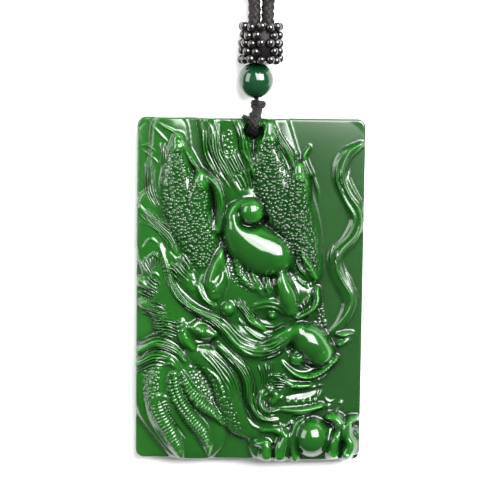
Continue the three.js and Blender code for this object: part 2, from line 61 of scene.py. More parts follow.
# %% [markdown]
# ## Camera
# The photograph was taken with the pendant upright, from slightly above its middle. The
# pendant lies on its back here, so the same view looks down on it, a few degrees off the
# vertical towards the hole. A long lens keeps the tablet's sides nearly parallel.

# %% Camera
AIM = Vector((0.0, 7.35 * MM, 3.0 * MM))
CAMERA_DISTANCE = 410 * MM
CAMERA_TILT = math.radians(8.0)
CAMERA_ROLL = math.radians(0.75)
LENS = 159.0
SENSOR = 36.0


def add_camera():
    away = Vector((0, math.sin(CAMERA_TILT), math.cos(CAMERA_TILT)))
    right = Vector((1, 0, 0))
    up = away.cross(right)
    turned_right = math.cos(CAMERA_ROLL) * right + math.sin(CAMERA_ROLL) * up
    turned_up = away.cross(turned_right)
    data = bpy.data.cameras.new("photo_camera")
    data.lens = LENS
    data.sensor_width = SENSOR
    data.sensor_fit = "HORIZONTAL"
    data.clip_start = 0.01
    camera = bpy.data.objects.new("photo_camera", data)
    axes = Matrix((turned_right, turned_up, away)).transposed().to_4x4()
    camera.matrix_world = Matrix.Translation(AIM + CAMERA_DISTANCE * away) @ axes
    bpy.context.collection.objects.link(camera)
    bpy.context.scene.camera = camera
    return camera


camera = add_camera()
print("camera at", [round(c, 3) for c in camera.matrix_world.translation])

# %% [markdown]
# ## The neck cord
# A limp cord of 0.6 m can't lie straight on a shelf, so what the photograph doesn't show is
# wound into a coil beyond the top edge of the view. It is one cord: it leaves the sleeve,
# lies in the coil and comes back into the sleeve. The first points are listed, and
# a loop works out the turns, four in the lower layer and the rest on top of them.

# %% Cord route
CORD = 2.3 * MM
STRAND_SPACING = 2.45 * MM
SEED_RADIUS = 0.84 * MM
COIL_MEAN = 27.6 * MM
TURNS_ACROSS = 4
collar_x = (collar_low[0] + collar_high[0]) / 2
collar_z = (collar_low[2] + collar_high[2]) / 2
collar_top = collar_high[1]
coil_x = (coil_low[0] + coil_high[0]) / 2
coil_y = (coil_low[1] + coil_high[1]) / 2
LYING = coil_low[2] + CORD / 2
HALF = STRAND_SPACING / 2
UPPER = coil_low[2] + 1.5 * CORD

ring_radii = [COIL_MEAN / 2 + (TURNS_ACROSS / 2 - 0.5 - k) * CORD for k in range(TURNS_ACROSS)]
turn_radii = ring_radii + ring_radii[:0:-1]
turn_heights = [LYING] * TURNS_ACROSS + [UPPER] * (TURNS_ACROSS - 1)
START_ANGLE = 200.0
LAST_ANGLE = 345.0
JOG = 50.0
STEP_ANGLE = 12.0
SUBSTEPS = 12
FEWEST_STEPS = 8


def free_stretch(side, end_height):
    offsets = [
        (HALF, -3.0 * MM, collar_z),
        (HALF, 0.3 * MM, collar_z),
        (HALF, 2.6 * MM, collar_z - 0.5 * MM),
        (HALF + 0.5 * MM, 5.2 * MM, LYING + 1.0 * MM),
        (HALF + 2.9 * MM, 7.7 * MM, LYING + 0.2 * MM),
        (HALF + 7.2 * MM, 9.6 * MM, LYING),
        (HALF + 11.0 * MM, 12.0 * MM, end_height),
        (HALF + 13.1 * MM, 14.2 * MM, end_height),
    ]
    return [Vector((collar_x + side * x, collar_top + y, z)) for x, y, z in offsets]


def coil_points():
    total = 360.0 * (len(turn_radii) - 1) + (START_ANGLE - LAST_ANGLE) % 360.0
    points = []
    for k in range(int(total / STEP_ANGLE) + 1):
        turned = k * STEP_ANGLE
        turn = min(int(turned // 360.0), len(turn_radii) - 1)
        into = turned - 360.0 * turn
        after = min(turn + 1, len(turn_radii) - 1)
        ease = max(0.0, (into - (360.0 - JOG)) / JOG)
        ease = ease * ease * (3 - 2 * ease)
        radius = turn_radii[turn] + (turn_radii[after] - turn_radii[turn]) * ease
        height = turn_heights[turn] + (turn_heights[after] - turn_heights[turn]) * ease
        angle = math.radians(START_ANGLE - turned)
        points.append(Vector((coil_x + radius * math.cos(angle), coil_y + radius * math.sin(angle), height)))
    return points


def smooth_line(points, spacing):
    """The Catmull-Rom curve through the points, cut into even steps."""
    padded = [2 * points[0] - points[1]] + points + [2 * points[-1] - points[-2]]
    fine = []
    for a, b, c, d in zip(padded, padded[1:], padded[2:], padded[3:]):
        for k in range(SUBSTEPS):
            t = k / SUBSTEPS
            fine.append(0.5 * ((2 * b) + (c - a) * t + (2 * a - 5 * b + 4 * c - d) * t * t
                               + (3 * b - a - 3 * c + d) * t ** 3))
    fine.append(points[-1])
    line = np.array([tuple(p) for p in fine])
    run = np.concatenate([[0], np.cumsum(np.linalg.norm(np.diff(line, axis=0), axis=1))])
    places = np.linspace(0, run[-1], max(FEWEST_STEPS, int(round(run[-1] / spacing)) + 1))
    return np.stack([np.interp(places, run, line[:, k]) for k in range(3)], axis=1)


route = free_stretch(-1, LYING) + coil_points() + free_stretch(1, UPPER)[::-1]
cord_line = smooth_line(route, 0.45 * MM)

# %% [markdown]
# ## Braided cord
# A braid is strands that run round the cord both ways and pass over and under each other.
# Each strand is a small tube whose distance from the middle rises and falls as it crosses
# the others, so the bumps in the picture are real geometry.

# %% Braid maker
STRANDS = 8
STRAND_SHARE = 0.21
CROSSING_LIFT = 0.3


def frames_along(line):
    """A tangent and two sideways directions at each point, carried along without twist."""
    tangent = np.gradient(line, axis=0)
    tangent /= np.linalg.norm(tangent, axis=1)[:, None]
    side = np.cross(tangent[0], (0.0, 0.0, 1.0))
    side /= np.linalg.norm(side)
    sides = []
    for direction in tangent:
        side = side - direction * np.dot(side, direction)
        side /= np.linalg.norm(side)
        sides.append(side)
    sides = np.array(sides)
    return tangent, sides, np.cross(tangent, sides)


def mesh_object(name, vertices, faces, smooth=True):
    data = bpy.data.meshes.new(name)
    data.from_pydata([tuple(v) for v in vertices], [], [tuple(f) for f in faces])
    data.polygons.foreach_set("use_smooth", [smooth] * len(data.polygons))
    data.update()
    made = bpy.data.objects.new(name, data)
    bpy.context.collection.objects.link(made)
    return made


def braid(name, line, width, thickness, pitch, sides=6, strands=STRANDS, fatness=1.2):
    """A mesh of strands braided round a line. Half of them turn one way and half the other."""
    _, across, out = frames_along(line)
    run = np.concatenate([[0], np.cumsum(np.linalg.norm(np.diff(line, axis=0), axis=1))])
    each_way = strands // 2
    strand_radius = fatness * STRAND_SHARE * (width + thickness) / 2
    lift = CROSSING_LIFT * strand_radius
    half_x = width / 2 - strand_radius - lift
    half_y = thickness / 2 - strand_radius - lift
    vertices = []
    faces = []
    for strand in range(strands):
        way = 1 if strand % 2 == 0 else -1
        turned = 2 * math.pi * run / pitch
        angle_round = way * turned + 2 * math.pi * (strand // 2) / each_way
        rise = way * lift * np.cos(each_way * turned)
        centre = (line + across * ((half_x + rise) * np.cos(angle_round))[:, None]
                  + out * ((half_y + rise) * np.sin(angle_round))[:, None])
        _, first, second = frames_along(centre)
        start = len(vertices)
        for k in range(len(line)):
            for s in range(sides):
                angle = 2 * math.pi * s / sides
                vertices.append(centre[k] + strand_radius * (math.cos(angle) * first[k]
                                                             + math.sin(angle) * second[k]))
        for k in range(len(line) - 1):
            for s in range(sides):
                a = start + k * sides + s
                b = start + k * sides + (s + 1) % sides
                faces.append((a, b, b + sides, a + sides))
        faces.append(tuple(start + s for s in reversed(range(sides))))
        last = start + (len(line) - 1) * sides
        faces.append(tuple(last + s for s in range(sides)))
    return mesh_object(name, vertices, faces)


# %% [markdown]
# The braid's outside is bumpy, so it is made a little wider than the cord that it stands for,
# which is about its mean thickness. Both strands at the sleeve then nearly touch.

# %% Neck cord
BRAID_WIDTH = 1.15 * CORD
BRAID_PITCH = 5.6 * MM
neck_cord = braid("neck_cord", cord_line, BRAID_WIDTH, BRAID_WIDTH, BRAID_PITCH)
print("neck cord faces:", len(neck_cord.data.polygons))

# %% [markdown]
# ## Loop and knot
# The loop is a flatter braid. It leaves the knot, climbs over the tablet's top edge, dives
# through the hole and comes back behind, in the channel cut for it.

# %% Hanging loop
STRAP_WIDTH = 2.0 * MM
STRAP_THICKNESS = 1.25 * MM
STRAP_PITCH = 3.4 * MM
STRAP_FLOOR_GAP = 0.15 * MM
HOLE_INSET = 2.6 * MM
HOLE_RADIUS = 1.2 * MM
HOLE_X = 0.3 * MM
GROUND_THICKNESS = 4.9
FACE = GROUND_THICKNESS * MM
LOOP_RISE = 1.4 * MM
LINE_STEP = 0.14 * MM
plaque_top = plaque_high[1]
hole_y = plaque_top - HOLE_INSET
knot_middle = [(low + high) / 2 for low, high in zip(knot_low, knot_high)]
knot_foot = knot_low[1]
over_face = FACE + LOOP_RISE + STRAP_THICKNESS / 2
behind = STRAP_FLOOR_GAP + STRAP_THICKNESS / 2

loop_points = [
    (knot_middle[0] - 0.1 * MM, knot_foot + 0.6 * MM, knot_middle[2] + 0.6 * MM),
    (knot_middle[0] - 0.35 * MM, knot_foot - 0.9 * MM, knot_middle[2] + 2.3 * MM),
    (HOLE_X + 0.2 * MM, plaque_top - 0.2 * MM, over_face - 0.15 * MM),
    (HOLE_X, hole_y + 1.5 * MM, over_face),
    (HOLE_X, hole_y + 0.35 * MM, over_face - 0.85 * MM),
    (HOLE_X, hole_y - 0.2 * MM, FACE - 0.4 * MM),
    (HOLE_X, hole_y - 0.25 * MM, FACE / 2 + 0.4 * MM),
    (HOLE_X, hole_y + 0.25 * MM, behind + 0.7 * MM),
    (HOLE_X, hole_y + 1.5 * MM, behind + 0.1 * MM),
    (HOLE_X + 0.1 * MM, plaque_top + 0.1 * MM, behind + 0.05 * MM),
    (knot_middle[0] - 0.3 * MM, knot_foot - 0.8 * MM, knot_middle[2] - 1.9 * MM),
    (knot_middle[0] - 0.1 * MM, knot_foot + 0.6 * MM, knot_middle[2] - 0.6 * MM),
]
loop_line = smooth_line([Vector(p) for p in loop_points], LINE_STEP)
hanging_loop = braid("hanging_loop_braid", loop_line, STRAP_WIDTH, STRAP_THICKNESS, STRAP_PITCH, sides=8)
print("loop faces:", len(hanging_loop.data.polygons))

# %% [markdown]
# One cut end of the loop's cord sticks out to the left, just above the tablet's top edge.

# %% Cut end
END_CORD = 0.9 * MM
END_PITCH = 2.4 * MM
end_points = [(HOLE_X - 0.4 * MM, plaque_top + 0.1 * MM, over_face - 0.2 * MM),
              (HOLE_X - 1.1 * MM, plaque_top + 0.15 * MM, over_face),
              (HOLE_X - 1.9 * MM, plaque_top + 0.5 * MM, over_face - 0.1 * MM)]
end_line = smooth_line([Vector(p) for p in end_points], 0.1 * MM)
cut_end = braid("loop_cut_end", end_line, END_CORD, END_CORD, END_PITCH)
print("cut end faces:", len(cut_end.data.polygons))

# %% [markdown]
# The knot is a thinner braid wound round itself a little more than two and a half times.

# %% Knot
KNOT_CORD = 1.15 * MM
KNOT_PITCH = 2.8 * MM
KNOT_TURNS = 2.6
KNOT_WAVES = 1.5
KNOT_WAVE_RISE = 0.34 * MM
KNOT_START = 0.6
KNOT_POINTS = 34


def knot_line():
    """Turns of cord round the waist of the knot that rise and fall as they go."""
    width, depth = (knot_high[k] - knot_low[k] for k in (0, 2))
    reach_x = (width - KNOT_CORD) / 2
    reach_z = (depth - KNOT_CORD) / 2
    points = []
    for k in range(KNOT_POINTS):
        share = k / (KNOT_POINTS - 1)
        angle = 2 * math.pi * KNOT_TURNS * share + KNOT_START
        wave = math.sin(2 * math.pi * KNOT_WAVES * share)
        points.append(Vector((
            knot_middle[0] + reach_x * math.cos(angle),
            knot_middle[1] + KNOT_WAVE_RISE * wave,
            knot_middle[2] + reach_z * math.sin(angle),
        )))
    return smooth_line(points, LINE_STEP)


knot_braid = braid("lower_knot_braid", knot_line(), KNOT_CORD, KNOT_CORD, KNOT_PITCH)
print("knot faces:", len(knot_braid.data.polygons))

# %% [markdown]
# ## The carving
# The dragon is one surface, so its height above the flat back is worked out at every point
# of a fine grid. Each form is a stroke: a curve with a half width and a height at each of
# its points. Large forms swell up from the ground, ridges and grooves are laid on them,
# bundles fill the space between two curves with strands of hair, and ribs and pebbles cover
# a stroke. Heights are shares of the relief's depth.

# %% Relief grid
PLAQUE_WIDTH = (plaque_high[0] - plaque_low[0]) / MM
PLAQUE_LENGTH = (plaque_high[1] - plaque_low[1]) / MM
DRAWN_LENGTH = 63.0
CORNER_RADIUS = 1.6
RELIEF_THICKNESS = 8.8
SIDE_DROP = 0.5
END_DROP = 0.5
RIM_ROUND = 0.45
RELIEF_DEPTH = RELIEF_THICKNESS - GROUND_THICKNESS
CELLS_ACROSS = 258
CELLS_ALONG = 366
STROKE_STEPS = 40
THINNEST = 0.1


def grid_lines(length, cells):
    """Even lines across a side, crowded a little at both edges to carry the rounded rim."""
    inner = np.linspace(-length / 2 + RIM_ROUND, length / 2 - RIM_ROUND, cells - 5)
    edge = RIM_ROUND * (1 - np.cos(np.linspace(0, math.pi / 2, 4)[:3]))
    return np.concatenate([-length / 2 + edge, inner, (length / 2 - edge)[::-1]])


columns = grid_lines(PLAQUE_WIDTH, CELLS_ACROSS)
rows = grid_lines(DRAWN_LENGTH, CELLS_ALONG)
grid_x, grid_y = np.meshgrid(columns, rows)
from_side = np.minimum(PLAQUE_WIDTH / 2 - np.abs(grid_x), DRAWN_LENGTH / 2 - np.abs(grid_y))
crown = (SIDE_DROP * np.abs(2 * grid_x / PLAQUE_WIDTH) ** 3
         + END_DROP * np.abs(2 * grid_y / DRAWN_LENGTH) ** 6)
level = -crown / RELIEF_DEPTH
line_count = np.zeros(level.shape)
line_rise = np.zeros(level.shape)
pebble_rise = np.zeros(level.shape)
print("relief grid:", level.shape)

# %% [markdown]
# ### Strokes
# A stroke is sampled along a smooth curve, and each grid point finds its nearest place on it.
# A swell raises the surface to its own height, and a ridge, a crest or a dot is added to what
# is there already.

# %% Strokes
CREST_ENDS = 0.25


def stroke(points, *values):
    """Even samples of a smooth curve, each with x, y and the values that go with the points."""
    table = np.column_stack([np.array(points, float)] + [np.array(v, float) for v in values])
    ends = [2 * table[0] - table[1], 2 * table[-1] - table[-2]]
    padded = np.vstack([ends[0], table, ends[1]])
    share = np.linspace(0, len(table) - 1, STROKE_STEPS + 1)
    before = np.minimum(share.astype(int), len(table) - 2)
    t = (share - before)[:, None]
    a, b, c, d = (padded[before + k] for k in range(4))
    curve = 0.5 * (2 * b + (c - a) * t + (2 * a - 5 * b + 4 * c - d) * t ** 2
                   + (3 * b - a - 3 * c + d) * t ** 3)
    curve[:, 2] = np.maximum(curve[:, 2], THINNEST)
    return curve


def window_round(curve):
    """The part of the grid that a stroke can reach."""
    widest = curve[:, 2].max()
    low = curve[:, :2].min(axis=0) - widest
    high = curve[:, :2].max(axis=0) + widest
    i0, i1 = np.searchsorted(columns, (low[0], high[0]))
    j0, j1 = np.searchsorted(rows, (low[1], high[1]))
    return slice(j0, j1), slice(i0, i1)


def near(curve, window):
    """Each grid point by a stroke: reach (1 at its side), signed side, run along it and height."""
    x, y = grid_x[window], grid_y[window]
    best = np.full(x.shape, np.inf)
    side, run, height = (np.zeros(x.shape) for _ in range(3))
    walked = 0.0
    for a, b in zip(curve[:-1], curve[1:]):
        dx, dy = b[0] - a[0], b[1] - a[1]
        length = math.hypot(dx, dy) + 1e-9
        share = np.clip(((x - a[0]) * dx + (y - a[1]) * dy) / length ** 2, 0, 1)
        off_x, off_y = x - a[0] - share * dx, y - a[1] - share * dy
        reach = np.hypot(off_x, off_y) / (a[2] + (b[2] - a[2]) * share)
        closer = reach < best
        best = np.where(closer, reach, best)
        side = np.where(closer, np.sign(dx * off_y - dy * off_x), side)
        run = np.where(closer, walked + share * length, run)
        height = np.where(closer, a[3] + (b[3] - a[3]) * share, height)
        walked += length
    return best, side, run, height


def swell(points, half_widths, heights, fullness=0.6):
    """A raised form. Fullness 0.5 is as round as a rod, 1 is a low swell."""
    curve = stroke(points, half_widths, heights)
    window = window_round(curve)
    reach, _, _, height = near(curve, window)
    form = height * np.clip(1 - reach ** 2, 0, 1) ** fullness
    level[window] = np.where(reach < 1, np.maximum(level[window], form), level[window])


def ridge(points, half_widths, heights):
    """A ridge laid on what is there."""
    curve = stroke(points, half_widths, heights)
    window = window_round(curve)
    reach, _, _, height = near(curve, window)
    level[window] += height * np.clip(1 - reach ** 2, 0, 1)


def hollow(points, half_widths, depths):
    """A groove or hollow cut into what is there."""
    ridge(points, half_widths, [-depth for depth in depths])


def boss(x, y, radius, height):
    swell([[x, y], [x + 0.01, y]], [radius, radius], [height, height])


def crest(points, half_width=0.3, rise=0.35):
    """A thin ridge that fades out at both ends, with its rise in millimetres."""
    share = np.linspace(0, 1, len(points))
    fade = CREST_ENDS + (1 - CREST_ENDS) * np.sin(math.pi * share) ** 0.5
    ridge(points, half_width * fade, rise * fade / RELIEF_DEPTH)


def dots(places, radius, rise):
    """Small domes laid on what is there, with their rise in millimetres."""
    for x, y in places:
        ridge([[x, y], [x + 0.01, y]], [radius, radius], [rise / RELIEF_DEPTH] * 2)


# %% [markdown]
# ### Lines and pebbles
# The finest hairs are closer together than the grid's points. So each grid point keeps a
# count that grows by one from hair to hair, and how far the hairs rise there. Wide strands
# are cut into the mesh, and the material draws the fine ones from the same two numbers.

# %% Lines and pebbles
FINE_PITCH = 0.5
COARSE_PITCH = 1.0
STAGGER = 0.2
GOLDEN = 0.618
WAVE_SIZE = 0.16
WAVE_RATE = 0.9
WAVE_SHIFT = 7
TRACE = 0.02
RIB_EDGE = 4
FIRST_RIB = 50
PEBBLE_EDGE = 5


def engrave(window, mask, count, pitch, rise):
    """Rounded lines side by side, one for each whole number of the count. Pitch and rise are in mm."""
    coarse = np.clip((pitch - FINE_PITCH) / (COARSE_PITCH - FINE_PITCH), 0, 1)
    profile = 1 - (2 * (count % 1) - 1) ** 2
    level[window] += rise * coarse * mask * profile / RELIEF_DEPTH
    taken = mask > TRACE
    line_count[window] = np.where(taken, count, line_count[window])
    line_rise[window] = np.where(taken, rise * (1 - coarse) * mask, line_rise[window])
    pebble_rise[window] = np.where(taken, 0, pebble_rise[window])


def bundle(left, right, count, rise=0.75, fade=0.25):
    """Strands that fill the space between two curves, with uneven ends. Rise is a share of their pitch."""
    left, right = np.array(left, float), np.array(right, float)
    reach = np.full(len(left), np.hypot(*(right - left).T).max() + 0.5)
    edges = [stroke(side, reach, reach * 0) for side in (left, right)]
    window = window_round(np.vstack(edges))
    (from_left, side_left, run, _), (from_right, side_right, _, _) = (near(e, window) for e in edges)
    middle = len(edges[0]) // 2
    ahead = edges[0][middle + 1, :2] - edges[0][middle, :2]
    over = edges[1][middle, :2] - edges[0][middle, :2]
    inner = np.sign(ahead[0] * over[1] - ahead[1] * over[0])
    between = (side_left == inner) & (side_right == -inner)
    share = from_left / (from_left + from_right + 1e-9)
    pitch = (from_left + from_right) * reach[0] / count
    wave = WAVE_SIZE * np.sin(WAVE_RATE * run + WAVE_SHIFT * share) * np.sin(math.pi * share)
    number = share * count + wave
    stagger = STAGGER * (np.floor(number) * GOLDEN % 1)
    length = run / (run.max() + 1e-9)
    ends = np.clip((length - stagger) / fade, 0, 1) * np.clip((1 - length - STAGGER + stagger) / fade, 0, 1)
    engrave(window, between * ends, number, pitch, rise * pitch)


def ribs(points, half_widths, pitch, rise, slant=0.0):
    """Rounded bars across a stroke, one after another along it."""
    curve = stroke(points, half_widths, np.zeros(len(points)))
    window = window_round(curve)
    reach, side, run, _ = near(curve, window)
    mask = np.clip((1 - reach) * RIB_EDGE, 0, 1)
    engrave(window, mask, run / pitch + slant * side * reach + FIRST_RIB, np.full(run.shape, pitch), rise)


def pebbles(points, half_widths, rise):
    """Pebbled skin over a stroke, for the material to draw."""
    curve = stroke(points, half_widths, np.zeros(len(points)))
    window = window_round(curve)
    reach, _, _, _ = near(curve, window)
    mask = np.clip((1 - reach) * PEBBLE_EDGE, 0, 1)
    pebble_rise[window] = np.maximum(pebble_rise[window], rise * mask)
    line_rise[window] *= 1 - mask


def blurred(field, steps):
    """The mean over a square of steps on each side."""
    for axis in (0, 1):
        padded = np.pad(field, [(steps, steps) if a == axis else (0, 0) for a in (0, 1)], mode="edge")
        total = np.insert(np.cumsum(padded, axis=axis), 0, 0, axis=axis)
        size = 2 * steps + 1
        field = (np.take(total, range(size, total.shape[axis]), axis=axis)
                 - np.take(total, range(total.shape[axis] - size), axis=axis)) / size
    return field


# %% [markdown]
# ### Main forms
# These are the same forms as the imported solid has, from the low masses up to the horn on
# the forehead, the snout and the pearl, which stand highest. First come the low masses under
# the head and paw, and the locks of the mane.

# %% Masses and mane


def carve_masses():
    swell([[-5.2, 33], [-4.6, 26], [-3.2, 20.5], [-1.4, 16]],
          [5, 4.4, 3.8, 3.2], [0.24, 0.3, 0.38, 0.42], 0.5)
    swell([[-15, 29], [-14.6, 22], [-13, 15], [-9.6, 7]], [3.4, 4.2, 5.2, 4.4], [0.14, 0.24, 0.34, 0.38], 0.8)
    swell([[4, 30], [5.4, 21], [8.2, 12], [10.4, 4]], [3, 4.6, 4.6, 3.2], [0.14, 0.28, 0.36, 0.38], 0.8)
    swell([[-6.4, 0.6], [0.4, -1.6], [7.0, -1.8]], [6.6, 7, 6.0], [0.44, 0.5, 0.5], 0.6)
    swell([[-17.6, 15], [-16.6, 8], [-14.4, 0], [-12.6, -7]],
          [3.6, 4.4, 4.6, 5], [0.16, 0.24, 0.34, 0.4], 0.8)
    swell([[-2, -9], [4, -13], [5.4, -18], [4.4, -23]], [5, 7.4, 7.6, 6.6], [0.5, 0.5, 0.42, 0.3], 0.7)
    swell([[-15.6, -14], [-14.2, -20], [-10.4, -26]], [6, 7, 6.4], [0.44, 0.42, 0.28], 0.7)
    swell([[3.6, -28.6], [11, -28.2], [18.4, -28]], [3.4, 3.6, 3.2], [0.3, 0.36, 0.32], 0.7)


def carve_mane():
    swell([[-7.2, 31.6], [-6.6, 27], [-4.8, 22.8], [-2, 18.4]],
          [1.9, 1.8, 1.7, 1.2], [0.32, 0.38, 0.46, 0.5], 0.7)
    swell([[-2.6, 31.6], [-1.4, 28.2], [-0.9, 25.4], [0.6, 21.5]],
          [1.5, 1.3, 1.2, 0.7], [0.34, 0.38, 0.42, 0.42], 0.7)
    swell([[-15.6, 29.4], [-12.6, 26.4], [-9.6, 22]], [0.5, 0.9, 0.6], [0.14, 0.24, 0.34], 1)
    swell([[-8.7, 21.3], [-6.2, 19], [-5.3, 15], [-6, 11]],
          [0.6, 1.3, 1.4, 0.8], [0.42, 0.46, 0.44, 0.4], 0.8)
    swell([[3.8, 31.2], [4.6, 28.4], [7, 25], [7.8, 22.4]],
          [0.6, 1.1, 1.1, 0.6], [0.22, 0.3, 0.34, 0.36], 0.8)
    swell([[10.6, 26.4], [9.8, 24.4], [11, 21.4]], [0.3, 0.45, 0.5], [0.16, 0.24, 0.24], 1)


carve_masses()
carve_mane()
print("highest share so far:", round(float(level.max()), 3))

# %% [markdown]
# The antlers are two fat stalks with a side branch and round tips. The horn between them is a
# drop that curls over into a ball.

# %% Antlers and horn


def carve_antlers():
    trunk_left = [[-13.5, 27.8], [-13.8, 24], [-13.4, 19], [-11.8, 14], [-9.8, 9.5], [-8.9, 4.6]]
    swell(trunk_left, [1.2, 2.2, 3.6, 4.4, 3.8, 1.8], [0.4, 0.5, 0.56, 0.6, 0.58, 0.44], 0.5)
    swell([[-9.2, 20.9], [-9.9, 17.6], [-10.8, 13.5]], [1.3, 2.5, 3.2], [0.6, 0.68, 0.64], 0.5)
    trunk_right = [[3.1, 30.4], [3.0, 26.5], [3.9, 21.5], [5.9, 16.8], [8.8, 11.2], [11.2, 4.6]]
    swell(trunk_right, [1.0, 2.2, 3.6, 4.6, 3.4, 1.7], [0.4, 0.52, 0.56, 0.62, 0.58, 0.46], 0.5)
    swell([[8.7, 22.8], [8.6, 19.8], [7.6, 15.8]], [1.2, 2.4, 3.4], [0.58, 0.7, 0.66], 0.5)


def carve_tips():
    boss(-13.4, 26.2, 1.7, 0.56)
    boss(-9.1, 19.4, 1.6, 0.76)
    boss(3.6, 27.8, 1.7, 0.58)
    boss(8.8, 21.0, 1.7, 0.78)


def carve_horn():
    swell([[-2.9, 13.6], [-2.6, 11.4], [-0.6, 8.9], [2, 7.2], [4.2, 6.5]],
          [1.6, 2.6, 3.9, 4.5, 4.1], [0.76, 0.86, 0.96, 1, 0.96], 0.55)
    swell([[-3.4, 11.8], [-3.4, 14.2], [-2.2, 15.9], [-0.2, 16.1], [1.0, 15.2]],
          [1.5, 1.4, 1.2, 1.4, 1.6], [0.74, 0.72, 0.68, 0.68, 0.7], 0.55)
    hollow([[2.9, 13.4], [1.0, 11.9], [-1.3, 12.2], [-2.6, 13.8]],
           [0.5, 0.6, 0.6, 0.4], [0.3, 0.32, 0.3, 0.1])
    boss(0.1, 14.8, 2.55, 0.96)


carve_antlers()
carve_tips()
carve_horn()
print("highest share so far:", round(float(level.max()), 3))

# %% [markdown]
# The face looks to the lower right. The ear, the cheek, the brow with its eye and the long
# band of the nose lie one over another.

# %% Face


def carve_ear_and_cheek():
    swell([[-15, 6.5], [-12.4, 3.4], [-10.4, 0.6]], [2.2, 2.8, 2.2], [0.34, 0.42, 0.44], 1)
    swell([[-5.1, 7.7], [-5.9, 4.8], [-6.3, 1.6], [-6.6, -0.6]],
          [0.3, 1.7, 2.7, 1.9], [0.56, 0.7, 0.76, 0.66], 0.7)
    hollow([[-5.5, 5.4], [-5.8, 3.2], [-6.6, 1.4]], [0.5, 0.9, 0.6], [0.08, 0.18, 0.06])
    swell([[-9.6, 1.2], [-8.5, -1], [-6.4, -2.7]], [0.5, 0.9, 0.5], [0.54, 0.6, 0.6])
    boss(-3.8, -3, 1.8, 0.76)
    swell([[-2.4, 5.6], [-1.5, 3], [0.5, 1], [3.4, 0.6]], [1.2, 1.6, 1.6, 1.0], [0.56, 0.6, 0.62, 0.62], 1)
    swell([[5.9, 3.6], [6.2, 1.6], [7.0, -0.8], [7.8, -3]], [0.9, 1.9, 2.4, 1.9], [0.82, 0.88, 0.9, 0.74])
    swell([[0.4, 3.4], [1.4, 1.4], [2.4, -0.4]], [0.4, 0.9, 1.1], [0.62, 0.68, 0.62], 0.8)
    swell([[3.2, 2.6], [3.4, 1], [3.6, -0.6]], [0.4, 0.9, 1.0], [0.64, 0.7, 0.62], 0.8)
    swell([[9.6, 8], [11, 4.4], [12.2, 2.6]], [0.5, 1.5, 0.6], [0.56, 0.62, 0.5], 0.8)
    swell([[12.5, 0.6], [12.5, -1.8], [11.1, -3.5], [8.8, -4.6]],
          [0.4, 0.6, 0.7, 0.6], [0.5, 0.54, 0.6, 0.64], 0.8)


def carve_brow_and_nose():
    swell([[-16.6, 8.2], [-15.2, 4.6], [-13.6, 0], [-10.4, -3], [-6, -5.4]],
          [0.7, 1.1, 1.2, 1.3, 1.5], [0.32, 0.4, 0.46, 0.56, 0.62], 0.9)
    swell([[-7, -5], [-4.2, -7.2], [-1.8, -9.8], [1.5, -10.9], [4.5, -9.8], [7.2, -7.8], [9.4, -6.8]],
          [1.1, 1.5, 2, 2.1, 2.1, 2, 1.6], [0.62, 0.68, 0.72, 0.76, 0.8, 0.84, 0.84], 0.6)
    hollow([[0.4, -4.2], [3.4, -4.6], [6, -4.8]], [1.2, 1.7, 1.1], [0.1, 0.2, 0.1])
    boss(4.2, -4.2, 1.05, 0.64)
    swell([[-2.4, -2.2], [-0.6, -3.2], [0.6, -5.4], [2.6, -6.8]],
          [0.8, 1.3, 1.2, 0.7], [0.58, 0.66, 0.64, 0.58], 0.8)
    swell([[0.4, -2.6], [3, -1.7], [5.6, -2.2], [7.2, -4]], [0.5, 0.8, 0.9, 0.5], [0.6, 0.7, 0.72, 0.64], 0.8)
    swell([[-12.5, -5.6], [-12, -8.4], [-10.4, -10.6]], [0.9, 1.6, 0.9], [0.5, 0.6, 0.5], 0.8)
    swell([[-11, -6.6], [-8.8, -7.2], [-6.2, -8]], [1.0, 2.3, 0.8], [0.5, 0.62, 0.55], 1)
    boss(-8.8, -7.1, 1.6, 0.72)


carve_ear_and_cheek()
carve_brow_and_nose()
print("highest share so far:", round(float(level.max()), 3))

# %% [markdown]
# The snout stands as high as the horn. Below it are the lips, the open mouth with its tongue,
# and the claws that hold the pearl.

# %% Snout, mouth and claws


def carve_snout():
    swell([[9.3, -7.5], [11.2, -9.2], [13.2, -11.2]], [2.3, 3.4, 2.8], [0.88, 1, 0.9])
    boss(9.0, -12, 2.0, 0.76)
    swell([[6.2, -12.8], [8.4, -15], [11.2, -15.5], [13.8, -14.4], [16.3, -12.2]],
          [0.4, 0.7, 0.7, 0.7, 0.4], [0.6, 0.66, 0.68, 0.68, 0.6], 0.8)
    swell([[-11.2, -11.4], [-7.4, -12.9], [-4.6, -16], [-3.4, -20], [-2, -24], [1.6, -26.6]],
          [1.4, 2.4, 2.8, 2.8, 2.6, 1.4], [0.3, 0.34, 0.36, 0.36, 0.32, 0.24], 0.4)
    swell([[-5.6, -10], [-2.2, -13], [-0.2, -16], [0.5, -20], [2.3, -23], [4.8, -24]],
          [0.7, 1.4, 1.5, 1.4, 1.2, 0.6], [0.52, 0.56, 0.56, 0.52, 0.48, 0.42], 0.9)


